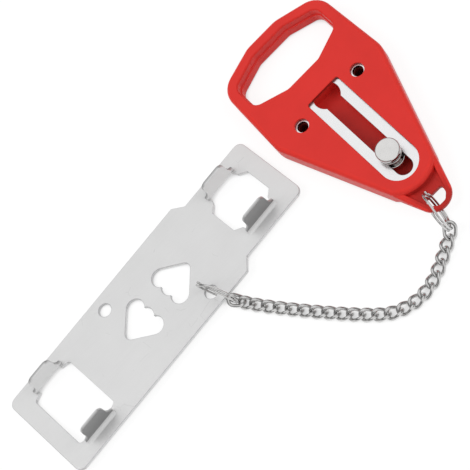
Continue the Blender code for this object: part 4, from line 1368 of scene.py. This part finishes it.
def claw_shape(middle, width, span, side):
    """A claw: its side profile, extruded across its width and rounded at its tip."""
    sizes = settings().plate
    top = sizes.thickness / 2 - CLAW_FOOT_INSET
    bottom = CLAW_FOOT_INSET - sizes.thickness / 2
    foot_y = span / 2 + CLAW_BEND_RADIUS + CLAW_FOOT
    tip_z = sizes.thickness / 2 + sizes.claw_height
    thick = CLAW_THICKNESS
    profile = [
        (foot_y, top, 0), (span / 2, top, CLAW_BEND_RADIUS), (span / 2, tip_z, 0),
        (span / 2 - thick, tip_z, 0), (span / 2 - thick, bottom, CLAW_BEND_RADIUS + thick),
        (foot_y, bottom, 0),
    ]
    shape = bmesh.new()
    face = join(shape, draw_outline(shape, profile))
    made = bmesh.ops.extrude_face_region(shape, geom=face)
    tops = only(bmesh.types.BMVert, made["geom"])
    bmesh.ops.translate(shape, verts=tops, vec=(0, 0, width))
    flare_top = top + CLAW_BEND_RADIUS + CLAW_FLARE_HEIGHT
    for k in range(CLAW_FLARE_STEPS + 1):
        bmesh.ops.bisect_plane(
            shape, geom=everything(shape), dist=CUT_DISTANCE, plane_no=(0, 1, 0),
            plane_co=(0, flare_top - CLAW_FLARE_HEIGHT * k / CLAW_FLARE_STEPS, 0))
    for point in shape.verts:
        share = min(max((flare_top - point.co.y) / CLAW_FLARE_HEIGHT, 0), 1)
        spread = CLAW_FLARE * (1 - math.sqrt(1 - share * share))
        point.co.z += spread if point.co.z > width / 2 else -spread
    corners = [edge for edge in shape.edges
               if all(abs(point.co.y - tip_z) < SAME_PLACE for point in edge.verts)
               and abs(edge.verts[0].co.x - edge.verts[1].co.x) > thick / 2]
    bevel(shape, corners, CLAW_TIP_ROUND, 8)
    face_outwards(shape)
    root = top + CLAW_BEND_RADIUS * CLAW_ROOT_SHARE
    sharp = [edge for edge in shape.edges
             if edge.calc_face_angle(0) > CLAW_SHARP_ANGLE
             and max(point.co.y for point in edge.verts) > root]
    bevel(shape, sharp, CLAW_EDGE_ROUND, 3, clamp=True)
    # The profile was drawn with the claw's span along X and its height along Y
    turn = Matrix(((0, 0, 1), (1, 0, 0), (0, 1, 0)))
    bmesh.ops.rotate(shape, verts=shape.verts, cent=(0, 0, 0), matrix=turn)
    bmesh.ops.translate(shape, verts=shape.verts, vec=(middle - width / 2, 0, 0))
    if side < 0:
        bmesh.ops.scale(shape, verts=shape.verts, vec=(1, -1, 1))
    face_outwards(shape)
    return shape


def mark_claw_reflection_and_edges(plate):
    """Take the edge marks off the claws' faces, and mark the outer ones for a painted dark
    reflection.
    """
    back = plate_matrix().inverted()
    bend_top = settings().plate.thickness / 2 + CLAW_BEND_RADIUS
    marks = plate.data.attributes.new("claw", "FLOAT", "POINT").data
    edge_mask = plate.data.attributes["bend"].data
    narrow, wide = claw_pairs()
    for mark, edge_marked, point in zip(marks, edge_mask, plate.data.vertices):
        x, y, z = back @ point.co
        middle, width, span = narrow if x > 0 else wide
        across = abs(x - middle) / (width / 2 + CLAW_FLARE)
        past = abs(y) - span / 2
        if across < CLAW_MARGIN and -CLAW_THICKNESS < past / CLAW_MARGIN < CLAW_BEND_RADIUS:
            edge_marked.value = 0.0
        # The outer faces are marked for a painted dark reflection
        if z > bend_top - CLAW_SKIN and abs(past) < CLAW_EDGE_ROUND / 2:
            mark.value = 1.0


def build_plate():
    """The stamped strike plate with its four claws."""
    sizes = settings().plate
    half_thick = sizes.thickness / 2
    edge = PLATE_EDGE_ROUND
    plate = make_piece("stamped_plate", slab(plate_corners(), -half_thick, half_thick, edge, edge))
    pairs = claw_pairs()
    (narrow_x, narrow_width, narrow_span), (wide_x, wide_width, wide_span) = pairs
    narrow_root = narrow_width / 2 + CLAW_RELIEF
    wide_root = wide_width / 2 + CLAW_RELIEF
    narrow = window_corners([
        (NARROW_WINDOW_HALF, NARROW_WINDOW_SIDE_Y, NARROW_WINDOW_RADIUS),
        (NARROW_WINDOW_NECK_X, NARROW_WINDOW_NECK_Y, NARROW_WINDOW_NECK_RADIUS),
        (narrow_root, NARROW_WINDOW_EDGE_Y, NARROW_WINDOW_RADIUS),
        (narrow_root, narrow_span / 2 + CLAW_BEND_RADIUS, CLAW_ROOT_RADIUS),
    ], narrow_x)
    wide = window_corners([
        (WIDE_WINDOW_HALF, WIDE_WINDOW_EDGE_Y - WIDE_WINDOW_SAG, WIDE_WINDOW_RADIUS),
        (wide_root, WIDE_WINDOW_EDGE_Y, CLAW_ROOT_RADIUS),
        (wide_root, wide_span / 2 + CLAW_BEND_RADIUS, CLAW_ROOT_RADIUS),
    ], wide_x)
    hole_x, hole_y = plate_hole()
    for corners, soft in ((narrow, edge / 2), (wide, edge / 2),
                          (lobed_corners(-1), edge), (lobed_corners(1), edge),
                          (round_corners(hole_x, -hole_y, PLATE_HOLE_RADIUS), edge),
                          (round_corners(-hole_x, hole_y, PLATE_HOLE_RADIUS), edge)):
        combine(plate, cutter(corners, -half_thick, half_thick, soft, soft, half_thick))
    for middle, width, span in pairs:
        for side in (-1, 1):
            combine(plate, claw_shape(middle, width, span, side), "UNION")
    plate.data.transform(plate_matrix())
    soften(plate)
    mark_claw_reflection_and_edges(plate)
    steel = steel_material("satin_plate_steel", settings().finishes.plate[:], rough=0.36,
                           stretch=(70.0, 2500.0, 70.0), grain_depth=0.06,
                           edge_tone=(0.36, 0.36, 0.37), scratches=0.4, metal=0.42)
    return dress(plate, steel, "satin_plate_steel", "plate", "strike_plate")


# Stage

def ray_mask(tree, *kinds):
    """1 for the kinds of ray that are named, and 0 for all others."""
    path = node(tree, "ShaderNodeLightPath").outputs
    mask = path[kinds[0]]
    for kind in kinds[1:]:
        mask = reckon(tree, "MAXIMUM", mask, path[kind])
    return mask


def floor_material():
    """A pale floor that shows white round the lock and keeps its soft shadow."""
    material = bpy.data.materials.new("studio_floor")
    material.use_nodes = True
    tree = material.node_tree
    tree.nodes.clear()
    plain = node(tree, "ShaderNodeBsdfDiffuse", {"Color": settings().finishes.floor})
    shadowed = node(tree, "ShaderNodeBsdfDiffuse", {"Color": FLOOR_SHADOW_TONE})
    openness = node(tree, "ShaderNodeAmbientOcclusion", {"Distance": FLOOR_NOOK_REACH},
                    samples=FLOOR_NOOK_SAMPLES).outputs["AO"]
    glow = node(tree, "ShaderNodeEmission", {
        "Color": (1, 1, 1), "Strength": remap(tree, openness, FLOOR_NOOK_SHARES, FLOOR_GLOWS)})
    white = node(tree, "ShaderNodeAddShader", {0: shadowed.outputs[0], 1: glow.outputs[0]})
    seen = ray_mask(tree, "Is Camera Ray", "Is Glossy Ray", "Is Transmission Ray")
    mixed = node(tree, "ShaderNodeMixShader", {0: seen, 1: plain.outputs[0], 2: white.outputs[0]})
    node(tree, "ShaderNodeOutputMaterial", {"Surface": mixed.outputs[0]})
    return material


def screen(tree, heading, way, span, strengths):
    """A bright screen that stands one way from the lock, as mirroring metal shows it."""
    nearness = reckon_vector(tree, "DOT_PRODUCT", heading, way)
    return remap(tree, nearness, span, strengths, "SMOOTHSTEP")


def build_world():
    """White all round, and dimmer for the light that falls on surfaces."""
    world = bpy.data.worlds.new("studio")
    bpy.context.scene.world = world
    world.use_nodes = True
    tree = world.node_tree
    tree.nodes.clear()
    heading = node(tree, "ShaderNodeTexCoord").outputs["Generated"]
    above = screen(tree, heading, SCREEN_WAY, SCREEN_RANGE, SCREEN_STRENGTHS)
    beside = screen(tree, heading, SIDE_SCREEN_WAY, SIDE_SCREEN_RANGE, SIDE_SCREEN_STRENGTHS)
    mirrored_light = node(tree, "ShaderNodeMix", {
        0: ray_mask(tree, "Is Glossy Ray"), 2: SURFACE_LIGHT,
        3: reckon(tree, "MAXIMUM", above, beside)}, data_type="FLOAT").outputs[0]
    strength = node(tree, "ShaderNodeMix", {
        0: ray_mask(tree, "Is Camera Ray", "Is Transmission Ray"), 2: mirrored_light, 3: 1.0},
        data_type="FLOAT").outputs[0]
    sky = node(tree, "ShaderNodeBackground", {"Color": (1, 1, 1), "Strength": strength})
    node(tree, "ShaderNodeOutputWorld", {"Surface": sky.outputs[0]})


def add_lamp(name, place, power):
    """A soft square lamp that faces the lock, and that metal doesn't mirror."""
    light = bpy.data.lights.new(name, "AREA")
    light.shape = "SQUARE"
    light.size = LAMP_SIZE
    light.energy = power
    lamp = bpy.data.objects.new(name, light)
    lamp.location = place
    lamp.rotation_euler = (Vector(LAMP_TARGET) - Vector(place)).to_track_quat("-Z", "Y").to_euler()
    lamp.visible_glossy = False
    bpy.context.scene.collection.objects.link(lamp)


def add_camera():
    """The camera at the photograph's angle."""
    camera = bpy.data.objects.new("camera", bpy.data.cameras.new("camera"))
    camera.data.lens = CAMERA_LENS
    camera.data.sensor_width = CAMERA_SENSOR
    camera.data.clip_start, camera.data.clip_end = CAMERA_CLIP
    right = Vector(CAMERA_RIGHT).normalized()
    up = Vector(CAMERA_UP)
    up = (up - right * up.dot(right)).normalized()
    placed = Matrix((right, up, right.cross(up))).transposed().to_4x4()
    placed.translation = Vector(CAMERA_PLACE)
    camera.matrix_world = placed
    bpy.context.scene.collection.objects.link(camera)
    bpy.context.scene.camera = camera


def build_stage():
    """Floor, world, lamps and camera."""
    shape = bmesh.new()
    bmesh.ops.create_grid(shape, x_segments=1, y_segments=1, size=FLOOR_HALF_SIZE)
    floor = make_piece("studio_floor", shape)
    floor.data.materials.append(floor_material())
    build_world()
    for lamp in LAMPS:
        add_lamp(*lamp)
    add_camera()
    bpy.context.scene.view_settings.view_transform = "Standard"


# Operators, panel and registration

class DOORLOCK_OT_handle(Operator):
    """Build the moulded handle"""
    bl_idname = "doorlock.handle"
    bl_label = "Handle"

    def execute(self, context):
        build_moulding()
        return {"FINISHED"}


class DOORLOCK_OT_insert(Operator):
    """Build the steel insert"""
    bl_idname = "doorlock.insert"
    bl_label = "Steel Insert"

    def execute(self, context):
        build_insert()
        return {"FINISHED"}


class DOORLOCK_OT_pin(Operator):
    """Build the locking pin"""
    bl_idname = "doorlock.pin"
    bl_label = "Locking Pin"

    def execute(self, context):
        build_pin()
        return {"FINISHED"}


class DOORLOCK_OT_rings(Operator):
    """Build both split rings"""
    bl_idname = "doorlock.rings"
    bl_label = "Split Rings"

    def execute(self, context):
        build_rings()
        return {"FINISHED"}


class DOORLOCK_OT_chain(Operator):
    """Build the chain's links"""
    bl_idname = "doorlock.chain"
    bl_label = "Chain"

    def execute(self, context):
        build_chain()
        return {"FINISHED"}


class DOORLOCK_OT_plate(Operator):
    """Build the strike plate"""
    bl_idname = "doorlock.plate"
    bl_label = "Strike Plate"

    def execute(self, context):
        build_plate()
        return {"FINISHED"}


class DOORLOCK_OT_stage(Operator):
    """Build the floor, lamps and camera"""
    bl_idname = "doorlock.stage"
    bl_label = "Stage"

    def execute(self, context):
        build_stage()
        return {"FINISHED"}


class DOORLOCK_PT_panel(Panel):
    """Sizes, colours and build steps of the door lock"""
    bl_idname = "DOORLOCK_PT_panel"
    bl_label = "Portable Door Lock"
    bl_space_type = "VIEW_3D"
    bl_region_type = "UI"
    bl_category = "Door Lock"

    def draw(self, context):
        lock = context.scene.door_lock
        for title, group in (("Handle", lock.handle), ("Pin", lock.pin), ("Chain", lock.chain),
                             ("Plate", lock.plate), ("Finishes", lock.finishes)):
            box = self.layout.box()
            box.label(text=title)
            for key in type(group).__annotations__:
                box.prop(group, key)
        column = self.layout.column()
        for step in BUILD_STEPS:
            column.operator(step.bl_idname)


BUILD_STEPS = (DOORLOCK_OT_handle, DOORLOCK_OT_insert, DOORLOCK_OT_pin, DOORLOCK_OT_rings,
               DOORLOCK_OT_chain, DOORLOCK_OT_plate, DOORLOCK_OT_stage)
CLASSES = (HandleSizes, PinSizes, ChainSizes, PlateSizes, Finishes, LockSettings,
           *BUILD_STEPS, DOORLOCK_PT_panel)


def register():
    """Register the classes and the scene's settings."""
    for item in CLASSES:
        bpy.utils.register_class(item)
    bpy.types.Scene.door_lock = PointerProperty(type=LockSettings)


def unregister():
    """Remove the settings and the classes."""
    del bpy.types.Scene.door_lock
    for item in reversed(CLASSES):
        bpy.utils.unregister_class(item)


def main():
    """Build the lock and its stage."""
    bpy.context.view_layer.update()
    register()
    bpy.ops.doorlock.handle()
    bpy.ops.doorlock.insert()
    bpy.ops.doorlock.pin()
    bpy.ops.doorlock.rings()
    bpy.ops.doorlock.chain()
    bpy.ops.doorlock.plate()
    bpy.ops.doorlock.stage()


if __name__ == "__main__":
    main()
